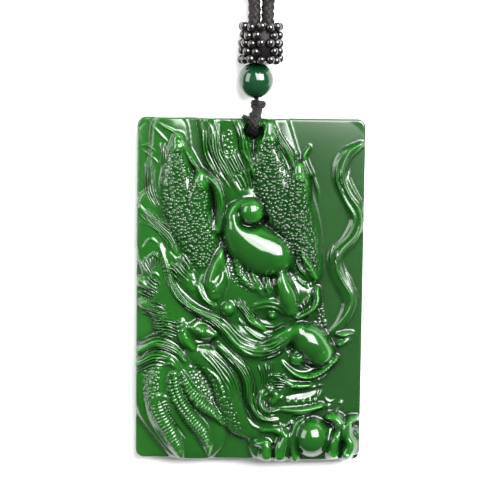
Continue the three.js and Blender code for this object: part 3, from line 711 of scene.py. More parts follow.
def carve_mouth():
    swell([[3.4, -17.6], [5.2, -19], [4.6, -20.4]], [0.6, 1.4, 1.1], [0.5, 0.58, 0.52], 0.8)
    swell([[2.6, -18.4], [2.2, -20.4], [3.6, -22.1], [6.6, -21.6]],
          [0.5, 0.8, 0.8, 0.4], [0.52, 0.58, 0.58, 0.46], 0.8)
    swell([[0.9, -19], [1.0, -21.4], [2.6, -23.4], [5.6, -23.8]],
          [0.5, 0.9, 0.9, 0.4], [0.48, 0.54, 0.54, 0.42], 0.8)
    swell([[6.4, -21.8], [9.8, -21.9], [13.6, -21.2]], [0.7, 0.9, 0.5], [0.5, 0.54, 0.44], 0.8)
    hollow([[7.4, -19], [10.2, -18.6], [13, -18]], [0.7, 1.0, 0.6], [0.08, 0.16, 0.06])
    swell([[5.6, -16], [8.6, -17.2], [11.4, -17.2]], [0.6, 1.0, 0.6], [0.56, 0.58, 0.5], 0.8)


def carve_pearl_and_claws():
    boss(11.9, -27.1, 3.6, 0.9)
    swell([[14.8, -23.2], [16.6, -23.6], [17.6, -25.6], [16.3, -27.4], [15.8, -29.6]],
          [0.5, 1.1, 1.3, 1.5, 1.7], [0.46, 0.58, 0.64, 0.68, 0.62], 0.7)
    swell([[20.3, -23.4], [18.8, -24.2], [18.6, -26.6], [19.2, -28.2], [18.4, -30]],
          [0.4, 0.9, 1.2, 1.5, 1.5], [0.4, 0.52, 0.6, 0.64, 0.58], 0.7)
    swell([[2.4, -25.8], [4.8, -25.6], [7, -26.6], [6.4, -28.6], [6, -30.2]],
          [0.4, 0.9, 1.4, 1.7, 1.9], [0.4, 0.5, 0.6, 0.66, 0.64], 0.7)
    swell([[1.7, -28.2], [3.4, -28.4], [3.6, -30.2]], [0.6, 1.3, 1.8], [0.44, 0.56, 0.62], 0.7)
    swell([[10.4, -23.4], [8.8, -25], [8.3, -28.4], [8.9, -31]], [0.4, 0.8, 1, 1], [0.4, 0.5, 0.54, 0.5], 0.7)


carve_snout()
carve_mouth()
carve_pearl_and_claws()
print("highest share so far:", round(float(level.max()), 3))

# %% [markdown]
# The paw with its three toes fills the lower left corner, low tufts of hair the left edge, and
# a flat ribbon the right edge. Then the whole surface is smoothed once, so that the forms meet
# softly.

# %% Paw, ribbon and tufts


def carve_paw():
    swell([[-20.6, -11.4], [-17, -9.8], [-13.8, -10.8], [-11.8, -13]],
          [0.8, 1.2, 1.2, 0.6], [0.44, 0.52, 0.54, 0.48], 0.8)
    swell([[-20.8, -13.8], [-17.6, -12.1], [-14.6, -12.6], [-12.8, -14.6]],
          [0.8, 1.3, 1.3, 0.8], [0.46, 0.56, 0.58, 0.52], 0.8)
    swell([[-16.8, -14.6], [-17.3, -18.6], [-16.6, -22.6], [-14.6, -26.4], [-12.9, -29.4], [-12.3, -31.2]],
          [2.3, 2.6, 2.5, 2.1, 1.5, 0.5], [0.54, 0.6, 0.6, 0.56, 0.46, 0.26], 0.7)
    swell([[-13.8, -15.4], [-13.2, -19.4], [-11, -23.2], [-8.8, -25.9], [-7.6, -28.3], [-7.3, -30.4]],
          [1.4, 1.8, 1.9, 1.9, 1.3, 0.4], [0.58, 0.64, 0.62, 0.56, 0.46, 0.26], 0.7)
    swell([[-12.4, -15.2], [-10.8, -18.6], [-8.6, -21.2], [-6.3, -22.9], [-4.6, -24.8]],
          [0.8, 1.5, 1.6, 1.2, 0.4], [0.52, 0.56, 0.54, 0.46, 0.32], 0.7)


def carve_ribbon():
    swell([[20.2, 27], [17, 24.6], [16.5, 21], [18.4, 17], [19.8, 13.4], [18.2, 9.6], [15.6, 6.4],
           [16.6, 2.6], [18.6, -1.4], [17.4, -5.2], [14.8, -7.8]],
          [0.4, 1.2, 1.4, 1.4, 1.3, 1.3, 1.4, 1.4, 1.3, 1.0, 0.4],
          [0.03, 0.06, 0.07, 0.07, 0.07, 0.07, 0.08, 0.08, 0.08, 0.07, 0.05], 1)
    swell([[16.2, -7.8], [17.6, -8.0], [19.3, -7.6]], [0.25, 0.6, 0.2], [0.12, 0.18, 0.1], 0.8)
    swell([[16.5, -9.8], [17.4, -9.3], [18.8, -8.7]], [0.25, 0.5, 0.2], [0.12, 0.16, 0.1], 0.8)


def carve_tufts():
    swell([[-20.6, 15], [-17.6, 12.4], [-14.9, 9.6], [-13.6, 6.6]],
          [0.8, 1.8, 2.0, 1.0], [0.14, 0.22, 0.3, 0.36], 1)
    swell([[-19.6, 8], [-17.4, 5.6]], [0.9, 1.2], [0.16, 0.26], 1)
    swell([[-20, 1.4], [-16.8, 0.2]], [0.9, 1.3], [0.14, 0.26], 1)
    swell([[-19.6, -2.6], [-15.4, -4.6]], [0.9, 1.3], [0.16, 0.3], 1)
    swell([[-16.6, -6.8], [-14, -7.8]], [0.9, 1.2], [0.26, 0.34], 1)


carve_paw()
carve_ribbon()
carve_tufts()
level[:] = blurred(blurred(level, 1), 1)
print("highest share of the relief:", round(float(level.max()), 3))

# %% [markdown]
# ### Fine carving
# Hair and folds give the stone its sparkle, because each crest catches the light as a thin
# bright line. They go on after the main forms, bundle by bundle. The named sizes are
# the crests' half widths, or their half widths and rises, in millimetres.

# %% Mane
HAIR = 0.26
THREAD = 0.28
LOCK = (0.3, 0.36)
HIGH_LOCK = (0.3, 0.4)
FOLD = (0.34, 0.4)
LOW_FOLD = (0.34, 0.36)


def carve_hair():
    bundle([[-9.2, 31], [-8.9, 25.6], [-7.2, 22], [-4.8, 18.2]],
           [[-7.2, 31.3], [-6.6, 25.6], [-5.0, 22.2], [-2.9, 18.6]], 4)
    bundle([[-7.0, 31.3], [-6.6, 25.6], [-5.0, 22.2], [-2.9, 17.6]],
           [[-5.6, 31.3], [-4.7, 25.8], [-3.0, 22.6], [-0.4, 17.8]], 4)
    bundle([[-4.6, 25.6], [-3.0, 22.6], [-0.8, 18.6]], [[-2.4, 25.4], [-0.6, 22], [1.0, 18.4]], 4)
    bundle([[-3.6, 31.3], [-2.6, 28], [-2.2, 25.6], [-0.4, 22]],
           [[-1.2, 31.3], [0.1, 28], [0.2, 26], [1.2, 23.2]], 4)
    bundle([[-12.0, 24.4], [-10.4, 22.0], [-9.6, 20.6]], [[-11.0, 24.8], [-9.4, 22.6], [-8.4, 21.4]], 4)
    bundle([[-8.9, 21.4], [-7.4, 19.2], [-7.0, 15.4], [-7.4, 10]],
           [[-7.6, 21.8], [-5.4, 19.6], [-4.5, 16], [-5.2, 12]], 7)
    bundle([[3.5, 31.2], [3.7, 28.6], [5.8, 25.4], [6.8, 22.4]],
           [[4.8, 31.2], [5.7, 28.8], [8.0, 25.2], [8.6, 22.8]], 5)
    bundle([[-19.6, 23.6], [-19.6, 18.4], [-17.4, 14.0]],
           [[-17.4, 23.6], [-17.4, 18.2], [-15.4, 14.0]], 5)
    bundle([[-17, 27], [-16.6, 24.6], [-17, 22.2]], [[-15.4, 27], [-15.2, 24.8], [-15.4, 22.4]], 4)
    bundle([[-3.4, 21.4], [-2.2, 19.6], [-1.5, 18.0]], [[1.2, 23.6], [1.6, 20.6], [1.9, 17.8]], 6, 0.6, 0.1)
    crest([[-20.5, 25.8], [-20.4, 28.8], [-19.4, 30.9]], 0.26, 0.26)
    crest([[-19, 30.8], [-17, 28.7], [-15, 26.8]], 0.26, 0.3)
    crest([[-20.5, 26.1], [-19, 26.3], [-17, 24.8]], 0.26, 0.3)
    crest([[-20.4, 25.6], [-18, 24.1], [-16.8, 22.8]], 0.26, 0.26)
    crest([[-9.2, 30.2], [-8.8, 27], [-8.6, 25], [-7, 22], [-4.4, 18.4]], HAIR)
    crest([[-8, 24.6], [-6.6, 22.2], [-4.8, 20.4], [-3.4, 18]], HAIR)
    crest([[-0.2, 26.6], [0.8, 24.8], [1.2, 22.6]], HAIR)
    dots([[-7.7, 10.7], [-6.8, 9.9], [-5.9, 9.2], [-5.2, 8.5], [-8.3, 11.8], [-8.6, 13]], 0.45, 0.3)
    crest([[-18.4, 31.2], [-16, 29.8], [-14, 28.8], [-12.6, 27.4], [-11.9, 25.5], [-11, 23.6],
           [-9, 22]], *FOLD)
    crest([[-8.2, 31.4], [-7.1, 29], [-7, 27], [-6.6, 25], [-5.4, 23]], THREAD)
    crest([[-7, 31.4], [-6.2, 29], [-6, 27], [-5.4, 25]], THREAD)
    crest([[-3, 31.4], [-1.9, 29], [-1.6, 27], [-1.3, 25], [0, 23.6]], 0.3)
    crest([[-2.3, 31.4], [-1.2, 29.4], [-0.9, 28], [0.2, 26]], HAIR)
    crest([[3.8, 31.4], [3.9, 29.5], [5.2, 28], [7, 25], [8, 22.8]], HAIR)
    crest([[9.5, 23], [9.6, 24.5], [10, 25.7], [10.8, 26.5]], *FOLD)
    crest([[10.2, 25], [10.3, 23.5], [11, 22], [12.3, 18.6], [12.4, 16.8]], HAIR)
    crest([[-8.9, 21.6], [-7.2, 20.4], [-6, 19], [-5.3, 17], [-5, 14.6]], *FOLD)


carve_hair()
print("strands on", int((line_rise > 0).sum()), "grid points")

# %% [markdown]
# The tufts on the left edge are short bundles of waves, with a crest along each.

# %% Waves


def carve_waves():
    bundle([[-20.9, 14.2], [-18, 11.4], [-15.4, 8.6], [-14.2, 6.4]],
           [[-20.8, 16.2], [-17.2, 13.6], [-14.1, 11.2], [-12.4, 7.4]], 8)
    bundle([[-12.2, 7.2], [-9.6, 3.4]], [[-15, 2.6], [-12.2, -0.6]], 8)
    bundle([[-20.8, 5.4], [-19.6, 3.6], [-18.4, 2.2]], [[-17.8, 9.4], [-16.8, 6.6], [-16.4, 3.6]], 7)
    bundle([[-20.7, -0.8], [-19, -1.6], [-17.2, -2.2]], [[-18.8, 3.2], [-16.8, 1.6], [-15, 0]], 7)
    bundle([[-20.2, -4.6], [-17.6, -5.2], [-15, -5.4]], [[-19.4, -1.4], [-17, -2.2], [-13.6, -3.4]], 7)
    bundle([[-17.8, -9], [-15.4, -8.6], [-13.4, -9.8]], [[-17.4, -5.4], [-15.4, -5.2], [-13.5, -5.6]], 6)
    crest([[-20.8, 16.2], [-19.4, 14.2], [-17.5, 13.1], [-15.8, 12.4], [-14.2, 11]], THREAD)
    crest([[-20.2, 12.4], [-17.6, 11.4], [-15.4, 9.8], [-14.2, 7.6]], HAIR)
    crest([[-14.8, 7.1], [-12.5, 4.5], [-10.2, 2.1]], 0.28, 0.4)
    crest([[-13, 6.6], [-11, 4.5], [-9.6, 3]], 0.26, 0.36)
    crest([[-15, 5.6], [-13, 3.5], [-11.2, 1.6]], 0.28, 0.4)
    crest([[-14.8, 4.2], [-12.4, 1.4]], 0.26, 0.36)
    crest([[-20, 7.4], [-18.4, 9.4], [-16.8, 8.4]], HAIR)
    crest([[-19.4, 5.2], [-18, 6.6], [-16.8, 6]], HAIR)
    crest([[-18.6, 2.2], [-17.6, 3.2], [-16.4, 2.2]], HAIR)
    crest([[-19.8, -3.6], [-17.8, -4.6], [-15, -5]], HAIR)
    crest([[-20.6, 2.4], [-19, 0.6], [-17.6, 0.4]], HAIR)
    crest([[-20.2, -1.4], [-18.2, -2.6], [-14.4, -4]], HAIR)
    crest([[-17.9, -6.6], [-16.4, -5.4], [-14.4, -5.6]], HAIR)


carve_waves()
print("strands on", int((line_rise > 0).sum()), "grid points")

# %% [markdown]
# The long folds of the nose and the neck come first on the face, then the lines round the
# cheek, the ear, the eye and the brow. Between them the horn's ball is raised once more,
# because the smoothing took away its edge.

# %% Face lines
WHISKER_TOPS = (-5.9, -6.6, -7.4, -8.2)


def carve_folds():
    bundle([[-16.9, 7.6], [-15.6, 2], [-12.4, -2.8], [-6.6, -6.6], [-2.6, -11], [1.8, -12.8]],
           [[-15.9, 8], [-14.2, 2.4], [-10.8, -2.2], [-5.2, -4.4], [-0.8, -8.2], [2.4, -8.8]], 5)
    bundle([[1.8, -12.8], [5.4, -11.8], [8.4, -9.2]], [[2.4, -8.8], [5.6, -7.6], [8.8, -5.6]], 6)
    bundle([[-6.4, -10.6], [-2.8, -13.8], [-1.2, -17], [-0.9, -21], [1.0, -24.8], [3.4, -26.2]],
           [[-4.0, -9.9], [-0.2, -13.4], [1.4, -16.8], [1.6, -20.4], [3, -22.6], [5.4, -23.2]], 5)
    crest([[-16.8, 8.2], [-15.5, 5], [-14.6, 1.2], [-13, -1.6], [-9.5, -3.6], [-5.8, -5.4],
           [-3, -8.8], [0, -11.2], [3, -11.6]], 0.36, 0.42)
    crest([[-10, -3], [-5, -5.1], [-2, -7.8], [0, -9], [3, -9.6], [6, -8.6]], *LOCK)
    crest([[-2, -5], [-0.2, -7], [2.4, -8.6], [5, -7.9], [7.2, -6.6], [9, -5.2]], *LOCK)


def carve_face_lines():
    crest([[0.5, -3.3], [3, -2.6], [5.2, -3], [6.6, -4.4]], *FOLD)
    crest([[0.3, -3.6], [1.3, -5.2], [2.8, -6.2], [4.6, -6.4], [6.4, -5.4]], *FOLD)
    crest([[2.0, -7.2], [3.8, -7.8], [5.7, -7.2]], HAIR)
    crest([[-11.4, -8.6], [-9.4, -9.6], [-7.4, -9.4], [-6.4, -7.4]], *FOLD)
    crest([[-10.8, -6.2], [-9, -5.2], [-7, -6], [-5.2, -9]], *FOLD)
    crest([[-12.9, -5.2], [-13.3, -6.6], [-12.5, -9.5], [-11, -11]], 0.3)
    bundle([[0.9, 3.0], [2.0, 1.4], [2.6, -0.4]], [[4.6, 2.6], [4.8, 1], [4.6, -0.6]], 5)
    bundle([[-9.4, -11.4], [-6.4, -14.4], [-4.2, -18.0], [-2.8, -22.0]],
           [[-6.8, -10.8], [-3.4, -14.2], [-1.6, -17.8], [-1.0, -21.6]], 4, 0.45)
    bundle([[-3.2, -1.4], [-1, -4.4], [1.4, -6.6]], [[-1.6, -0.6], [0.4, -3.2], [2.2, -5.4]], 4)
    bundle([[8.3, 6.4], [8.8, 4.2], [10.6, 2.4]], [[9.8, 8.2], [11.2, 5.2], [12.3, 2.6]], 5)
    bundle([[8.6, -2.6], [9.6, -3.6], [9.0, -4.6]], [[12.0, 1.0], [12.2, -1.4], [11.4, -3.4]], 6)
    swell([[0.1, 14.8], [0.11, 14.8]], [2.45, 2.45], [0.94, 0.94], 0.35)
    crest([[-5.0, 6.4], [-4.2, 3.6], [-3.9, 1.2], [-4.6, -1]], *LOCK)
    crest([[-8.5, 3.6], [-9.0, 1.4], [-7.9, -1]], THREAD)
    crest([[-7.3, 2], [-6.2, 1.4], [-6.2, 0.3], [-7, 0]], THREAD)
    crest([[-9.6, 1], [-8.5, -1], [-7.5, -2], [-6.4, -2.6]], HAIR)
    crest([[-10.8, -7.4], [-9.8, -5.8], [-8, -5.6], [-7.1, -6.8]], THREAD)
    dots([[-8.6, -7.4], [4.3, -4.1]], 0.6, 0.3)
    for y in WHISKER_TOPS:
        crest([[-16.8, y - 0.3], [-15.4, y + 0.2], [-13.8, y]], HAIR)
    crest([[-14.6, -9], [-13.4, -10.2]], HAIR)
    crest([[-6.2, -10.2], [-4, -12.3], [-2.6, -14.2], [-1.6, -16.2]], HAIR)
    crest([[-3.8, -10.4], [-2.3, -11.6], [-0.8, -13.2], [0, -15]], HAIR)
    crest([[-4.6, -6.6], [-2.2, -9.2], [0, -10.4], [2.6, -10.6], [5.4, -9.4]], HAIR)
    crest([[-2.2, -4.4], [-1.4, -5.6], [-0.2, -6.4]], HAIR)
    crest([[-0.8, -4.2], [0.2, -5.4], [1.2, -6]], HAIR)
    crest([[0.7, 3.6], [1, 2.4], [1.9, 1.2]], *HIGH_LOCK)
    crest([[2.4, 2.4], [2.8, 1.2], [3.4, 0.2]], *HIGH_LOCK)
    crest([[4.2, 2.6], [4.4, 1.2], [4.0, -0.2]], *HIGH_LOCK)
    crest([[5.4, 3.6], [5.2, 2], [5.8, 0.4]], HAIR)
    crest([[9.5, 8.3], [9.8, 6.5], [11, 5], [12.3, 2.7]], 0.34, 0.45)
    crest([[8.6, 5.6], [9.6, 4], [11.2, 2.2]], 0.34, 0.45)
    crest([[8.4, 3.4], [9.2, 2.2], [10.8, 0.8]], *HIGH_LOCK)
    crest([[12.6, 0.4], [12.6, -1.8], [11.4, -3.2], [8.6, -4.8]], *HIGH_LOCK)
    crest([[11, 0.4], [10.8, -1.6], [9.4, -3]], HAIR)
    crest([[13, -2.2], [13, -3.6], [12.3, -5]], HAIR)
    dots([[14, -5.6], [14.1, -6.3], [13, -5.8], [8.5, 25.2], [10.2, 1.6], [11.4, 1.4]], 0.4, 0.3)
    hollow([[9.6, -12.6], [10.4, -13.4], [11.4, -13.9]], [0.35] * 3, [0.1, 0.16, 0.06])
    hollow([[7.4, -10.6], [8.6, -11.4], [9.6, -11.2], [10.2, -10.2]], [0.3] * 4, [0.06, 0.12, 0.12, 0.04])


carve_folds()
carve_face_lines()
print("strands on", int((line_rise > 0).sum()), "grid points")

# %% [markdown]
# The antlers have a skin of small pebbles, and so have parts of the neck and the paw. The
# toes are ribbed across.

# %% Skin and toes


def carve_skin():
    pebbles([[-14.0, 24.6], [-13.9, 22.5], [-13.2, 19], [-11.8, 14], [-9.8, 9.5], [-8.9, 5.6]],
            [1.5, 2.2, 3.6, 4.3, 3.7, 1.8], 0.22)
    pebbles([[-9.6, 18.6], [-9.9, 17.2], [-10.8, 13.5]], [1.8, 2.4, 3.0], 0.22)
    pebbles([[3.1, 26.4], [3.3, 24], [3.8, 21.5], [5.6, 16.8], [8.8, 11.2], [11, 5.4]],
            [1.7, 2.3, 3.6, 4.5, 3.4, 1.7], 0.22)
    pebbles([[8.4, 19.4], [7.8, 16.4]], [2.0, 3.0], 0.22)
    pebbles([[-4.4, 7.2], [-3, 4.8], [-1.6, 2.6], [0.4, 0.8]], [0.8, 1.4, 1.5, 1.1], 0.12)
    pebbles([[-9.4, -14.8], [-6.8, -18.6], [-3.6, -23.6], [-1.4, -27]], [1.8, 2.6, 2, 0.8], 0.1)
    pebbles([[-18, -14.8], [-17.9, -18.6], [-17.2, -22]], [1.6, 1.8, 1.4], 0.13)
    pebbles([[13, -2], [13.6, -6.4]], [0.7, 0.7], 0.1)
    pebbles([[-4.4, 28.6], [-4.2, 25]], [0.9, 0.9], 0.07)
    pebbles([[7.6, 5.8], [8.4, 3]], [0.8, 0.9], 0.08)


def carve_digits():
    ribs([[-16.4, -20.6], [-15.8, -23.4], [-14.4, -26.4], [-12.9, -29.2]],
         [1.8, 1.8, 1.6, 1.0], 0.62, 0.2, 0.4)
    ribs([[-13.8, -16], [-13.2, -19.4], [-11, -23.2], [-8.8, -25.9], [-7.6, -28]],
         [1.3, 1.6, 1.7, 1.6, 1.0], 0.6, 0.22, 0.4)
    ribs([[-12.2, -15.8], [-10.8, -18.6], [-8.6, -21.2], [-6.3, -22.9]], [0.8, 1.4, 1.4, 0.9], 0.6, 0.22, 0.4)
    bundle([[-20.8, -13.2], [-17.2, -11], [-13.6, -12], [-11.8, -14.4]],
           [[-20.8, -9.8], [-17, -8.4], [-13.4, -9.6], [-11, -12.4]], 5)
    bundle([[-20.8, -15.6], [-17.6, -14.0], [-14.8, -14.6]], [[-20.8, -13.2], [-17.6, -11.4], [-14, -12]], 4)
    crest([[-20.8, -11.2], [-17, -9.2], [-14, -10], [-12, -12.4]], *FOLD)
    crest([[-11.7, -15.5], [-10.3, -18], [-7, -20.4], [-5.2, -23.4]], HAIR)
    crest([[-16.4, -13.8], [-14.4, -13.5], [-13.2, -14.8]], *FOLD)
    crest([[-9, -13.7], [-6, -15.8], [-5, -18], [-4.4, -21]], HAIR)
    dots([[-14.8, -16.8], [-14.6, -18.4], [-14, -20.3], [-12.4, -17.1], [-11.6, -18.5], [-10.6, -19.9],
          [-9.6, -21.2]], 0.5, 0.35)
    hollow([[-14.3, -15.6], [-13.9, -18.2], [-12.4, -21.4], [-9.9, -24.4]], [0.3] * 4, [0.02, 0.1, 0.1, 0.04])
    hollow([[-16, -20.4], [-14.2, -23.8], [-11.6, -27.2]], [0.3] * 3, [0.02, 0.1, 0.04])


carve_skin()
carve_digits()
print("pebbles on", int((pebble_rise > 0).sum()), "grid points")

# %% [markdown]
# Last come the ribbon's edges, the teeth and lips, and the lines of the claws.

# %% Ribbon, mouth and claws
TOOTH_PLACES = (7.5, 8.9, 10.3, 11.5, 12.5)


def carve_ribbon_lines():
    crest([[20.4, 27.2], [18.5, 26], [17.2, 23.6], [16.9, 21], [18, 18], [20, 15], [20, 11],
           [17, 7.5], [16, 5], [16.8, 2.6], [18.9, -1], [18.2, -4], [15.2, -7.4]], 0.32, 0.36)
    crest([[17.3, 26], [15.8, 23], [15.9, 20], [17.4, 16.8], [19.2, 13.6], [18.3, 10.4],
           [15.3, 7.4], [15, 5]], 0.3, 0.3)
    crest([[18.1, 22.4], [18.2, 20.2], [20, 17], [21, 15.6]], 0.26, 0.26)
    crest([[17.7, 4], [18.6, 2.2], [19.6, 0]], 0.26, 0.26)
    crest([[16.2, -7.6], [17.5, -7.9], [19.3, -7.5]], THREAD)
    crest([[16.5, -9], [17, -9.9], [18.5, -8.8]], THREAD)
    bundle([[15.2, 9], [14.6, 6.4], [15.2, 3.4]], [[16.8, 8.6], [16.3, 6.4], [16.8, 3.4]], 4, 0.5)
    bundle([[15.6, 23.4], [15.5, 20.4], [17, 17]], [[16.8, 23.4], [16.7, 20.6], [18, 17.8]], 3, 0.5)


def carve_mouth_lines():
    for x in TOOTH_PLACES:
        crest([[x, -20.8], [x + 0.05, -20.3], [x + 0.1, -19.7]], 0.42, 0.4)
    crest([[13.6, -18.2], [13.2, -19.4], [12.8, -20.7]], 0.36, 0.45)
    crest([[7, -23.2], [9.5, -22.5], [12.4, -22.4]], *LOW_FOLD)
    crest([[5.5, -23.8], [6.3, -25], [6.9, -26.5]], *LOW_FOLD)
    crest([[6.2, -12.9], [7.5, -14], [9, -15], [10.8, -15.6], [13.2, -15], [16, -12.8]], *FOLD)
    ribs([[16.1, -12.7], [14.8, -13.9], [13.2, -15], [11.4, -15.4]], [0.4] * 4, 0.66, 0.25)
    crest([[10.7, -18.5], [12.2, -17.7], [13.8, -17.4]], THREAD)
    crest([[3.4, -15.9], [4.2, -15.3], [5.8, -15.6], [7, -15]], THREAD)
    crest([[7, -17.9], [8.3, -17.4], [9.8, -16.3]], THREAD)
    crest([[11.6, -16.4], [13.4, -16.2], [15, -15]], THREAD)
    crest([[0.4, -19.6], [1, -21.5], [2.3, -23], [4.8, -24]], *LOCK)
    crest([[2, -20.6], [2.6, -22.2], [4, -23], [5.8, -22.6]], *LOCK)
    crest([[0, -23.6], [1, -24.9], [3.2, -25.8]], HAIR)
    crest([[4.4, -17.4], [3.7, -18.8], [2.6, -19.4]], THREAD)
    crest([[14.2, -19.6], [15, -20.4], [16.2, -20.2]], HAIR)
    dots([[15, -21.3], [17.3, -20.7], [6.2, -19.6], [9.6, -23.6], [8, -24.2]], 0.5, 0.3)
    crest([[14.6, -21.2], [15.2, -22.4], [16.4, -22.2], [17.6, -20.8]], *LOCK)
    bundle([[3.4, -15.2], [5.8, -15.0], [8.4, -16.2]], [[4.2, -18.4], [7.2, -18.4], [10.6, -17.2]], 6)
    bundle([[2.0, -19.2], [2.2, -22], [4, -23.4], [5.8, -23]],
           [[3.8, -18.8], [4.2, -21], [4.8, -21.6], [5.8, -21.4]], 5)
    bundle([[1.4, -13.4], [2.4, -16], [2.2, -18.6]], [[4.4, -12.8], [4.6, -14.6], [4, -16.6]], 5)


def carve_claw_lines():
    crest([[18, -25], [19, -23.9], [20.2, -23.6]], 0.4, 0.4)
    crest([[15.1, -29.4], [16.2, -30.4], [17.2, -29.4]], *LOW_FOLD)
    crest([[17.9, -29.6], [18.8, -30.2], [19.6, -29.2]], *LOW_FOLD)
    crest([[16.8, -24.2], [16.4, -26], [17.4, -28]], *LOW_FOLD)
    crest([[2.2, -28], [3.5, -27.6], [4.6, -28.2]], *LOW_FOLD)
    crest([[6, -27], [5.2, -29.2], [5.6, -31]], 0.3, 0.3)
    crest([[3.2, -25.6], [6.4, -25], [10.4, -23.4]], 0.3, 0.3)
    hollow([[17.5, -24.6], [17.4, -27], [17.3, -30.6]], [0.35] * 3, [0.1, 0.16, 0.16])
    hollow([[4.7, -28.4], [4.8, -30], [4.6, -31.4]], [0.35] * 3, [0.1, 0.16, 0.16])


carve_ribbon_lines()
carve_mouth_lines()
carve_claw_lines()
print("share range:", round(float(level.min()), 3), round(float(level.max()), 3))

# %% [markdown]
# ## Tablet
# The carved face is that grid, with the corner squares drawn in to quarter discs. Its sides,
# a small chamfer and the flat back close it into one solid.

# %% Tablet mesh
BACK_CHAMFER = 0.3
LOWEST_LEVEL = -0.2


def tablet_grid():
    """Grid places with the corner squares drawn in to quarter discs, so that the plan is rounded."""
    x, y = grid_x.copy(), grid_y * PLAQUE_LENGTH / DRAWN_LENGTH
    u = (np.abs(x) - (PLAQUE_WIDTH / 2 - CORNER_RADIUS)) / CORNER_RADIUS
    v = (np.abs(y) - (PLAQUE_LENGTH / 2 - CORNER_RADIUS)) / CORNER_RADIUS
    corner = (u > 0) & (v > 0)
    shrink = np.maximum(u, v) / np.maximum(np.hypot(u, v), 1e-9)
    x[corner] -= (np.sign(x) * (u - u * shrink) * CORNER_RADIUS)[corner]
    y[corner] -= (np.sign(y) * (v - v * shrink) * CORNER_RADIUS)[corner]
    return x, y


def tablet_heights():
    """Height above the flat back in millimetres, rounded over at the rim."""
    height = GROUND_THICKNESS + RELIEF_DEPTH * np.clip(level, LOWEST_LEVEL, 1.0)
    inward = np.clip(RIM_ROUND - from_side, 0, RIM_ROUND)
    return height - (RIM_ROUND - np.sqrt(RIM_ROUND ** 2 - inward ** 2))


def tablet_mesh():
    """The carved face, the four sides, a small chamfer and the flat back, all in one closed mesh."""
    x, y = tablet_grid()
    z = tablet_heights()
    count_y, count_x = z.shape
    number = np.arange(count_x * count_y).reshape(count_y, count_x)
    vertices = np.column_stack([x.ravel(), y.ravel(), z.ravel()])
    quads = np.column_stack([number[:-1, :-1].ravel(), number[:-1, 1:].ravel(),
                             number[1:, 1:].ravel(), number[1:, :-1].ravel()])
    ring = np.concatenate([number[0, :], number[1:, -1], number[-1, -2::-1], number[-2:0:-1, 0]])
    edge = vertices[ring]
    inset = 1 - BACK_CHAMFER / (PLAQUE_WIDTH / 2)
    low = np.column_stack([edge[:, :2], np.full(len(ring), BACK_CHAMFER)])
    flat = np.column_stack([edge[:, :2] * inset, np.zeros(len(ring))])
    vertices = np.vstack([vertices, low, flat])
    faces = [tuple(q) for q in quads.tolist()]
    start_low = count_x * count_y
    start_flat = start_low + len(ring)
    after = np.roll(np.arange(len(ring)), -1)
    for k, n in enumerate(after.tolist()):
        faces.append((int(ring[k]), start_low + k, start_low + n, int(ring[n])))
        faces.append((start_low + k, start_flat + k, start_flat + n, start_low + n))
    faces.append(tuple(range(start_flat + len(ring) - 1, start_flat - 1, -1)))
    return mesh_object("carved_tablet", vertices * MM, faces)


tablet = tablet_mesh()
print("tablet faces before the hole:", len(tablet.data.polygons))

# %% [markdown]
# The hole runs through the tablet near its top edge, with a small countersink in front. The
# hind part of the loop lies in a shallow channel behind it. Both are cut by closed solids.

# %% Hole and channel
CHANNEL_DEPTH = 1.8 * MM
CHANNEL_WIDTH = 2.7 * MM
COUNTERSINK = 0.4 * MM
DRILL_STEPS = 32
DRILL_TOP = 12 * MM
OVERCUT = 1 * MM


def lathe(name, profile, middle, steps, smooth=True):
    """A closed solid turned round the Y axis through a point, from pairs of radius and place along it."""
    vertices = []
    faces = []
    count = len(profile)
    for s in range(steps):
        angle = 2 * math.pi * s / steps
        for radius, along in profile:
            vertices.append((middle[0] + radius * math.cos(angle), middle[1] + along,
                             middle[2] + radius * math.sin(angle)))
    for s in range(steps):
        n = (s + 1) % steps
        for k in range(count):
            m = (k + 1) % count
            faces.append((s * count + k, s * count + m, n * count + m, n * count + k))
    return mesh_object(name, vertices, faces, smooth)


def drill():
    """A vertical pin through the hole with a wider cone where it meets the carved face."""
    wide = HOLE_RADIUS + 2 * COUNTERSINK
    rings = [(HOLE_RADIUS, -OVERCUT), (HOLE_RADIUS, FACE - COUNTERSINK),
             (wide, FACE + COUNTERSINK), (wide, DRILL_TOP)]
    steps = DRILL_STEPS
    angles = [2 * math.pi * s / steps for s in range(steps)]
    vertices = [(HOLE_X + r * math.cos(a), hole_y + r * math.sin(a), z) for r, z in rings for a in angles]
    last = len(rings) - 1
    faces = [tuple(reversed(range(steps))), tuple(range(last * steps, len(vertices)))]
    for k in range(last):
        for s in range(steps):
            n = (s + 1) % steps
            faces.append((k * steps + s, k * steps + n, (k + 1) * steps + n, (k + 1) * steps + s))
    return mesh_object("drill", vertices, faces)


def channel_block():
    low = (HOLE_X - CHANNEL_WIDTH / 2, hole_y - 0.2 * MM, -OVERCUT)
    high = (HOLE_X + CHANNEL_WIDTH / 2, plaque_top + OVERCUT, CHANNEL_DEPTH)
    corners = [(x, y, z) for z in (low[2], high[2]) for y in (low[1], high[1]) for x in (low[0], high[0])]
    faces = [(0, 2, 3, 1), (4, 5, 7, 6), (0, 1, 5, 4), (2, 6, 7, 3), (0, 4, 6, 2), (1, 3, 7, 5)]
    return mesh_object("channel_block", corners, faces)


def cut(target, tool):
    """The target less the tool, as a plain mesh. The tool is removed."""
    step = target.modifiers.new("cut", "BOOLEAN")
    step.operation = "DIFFERENCE"
    step.solver = "MANIFOLD"
    step.object = tool
    bpy.context.view_layer.update()
    done = bpy.data.meshes.new_from_object(target.evaluated_get(bpy.context.evaluated_depsgraph_get()))
    target.modifiers.remove(step)
    target.data = done
    bpy.data.objects.remove(tool)


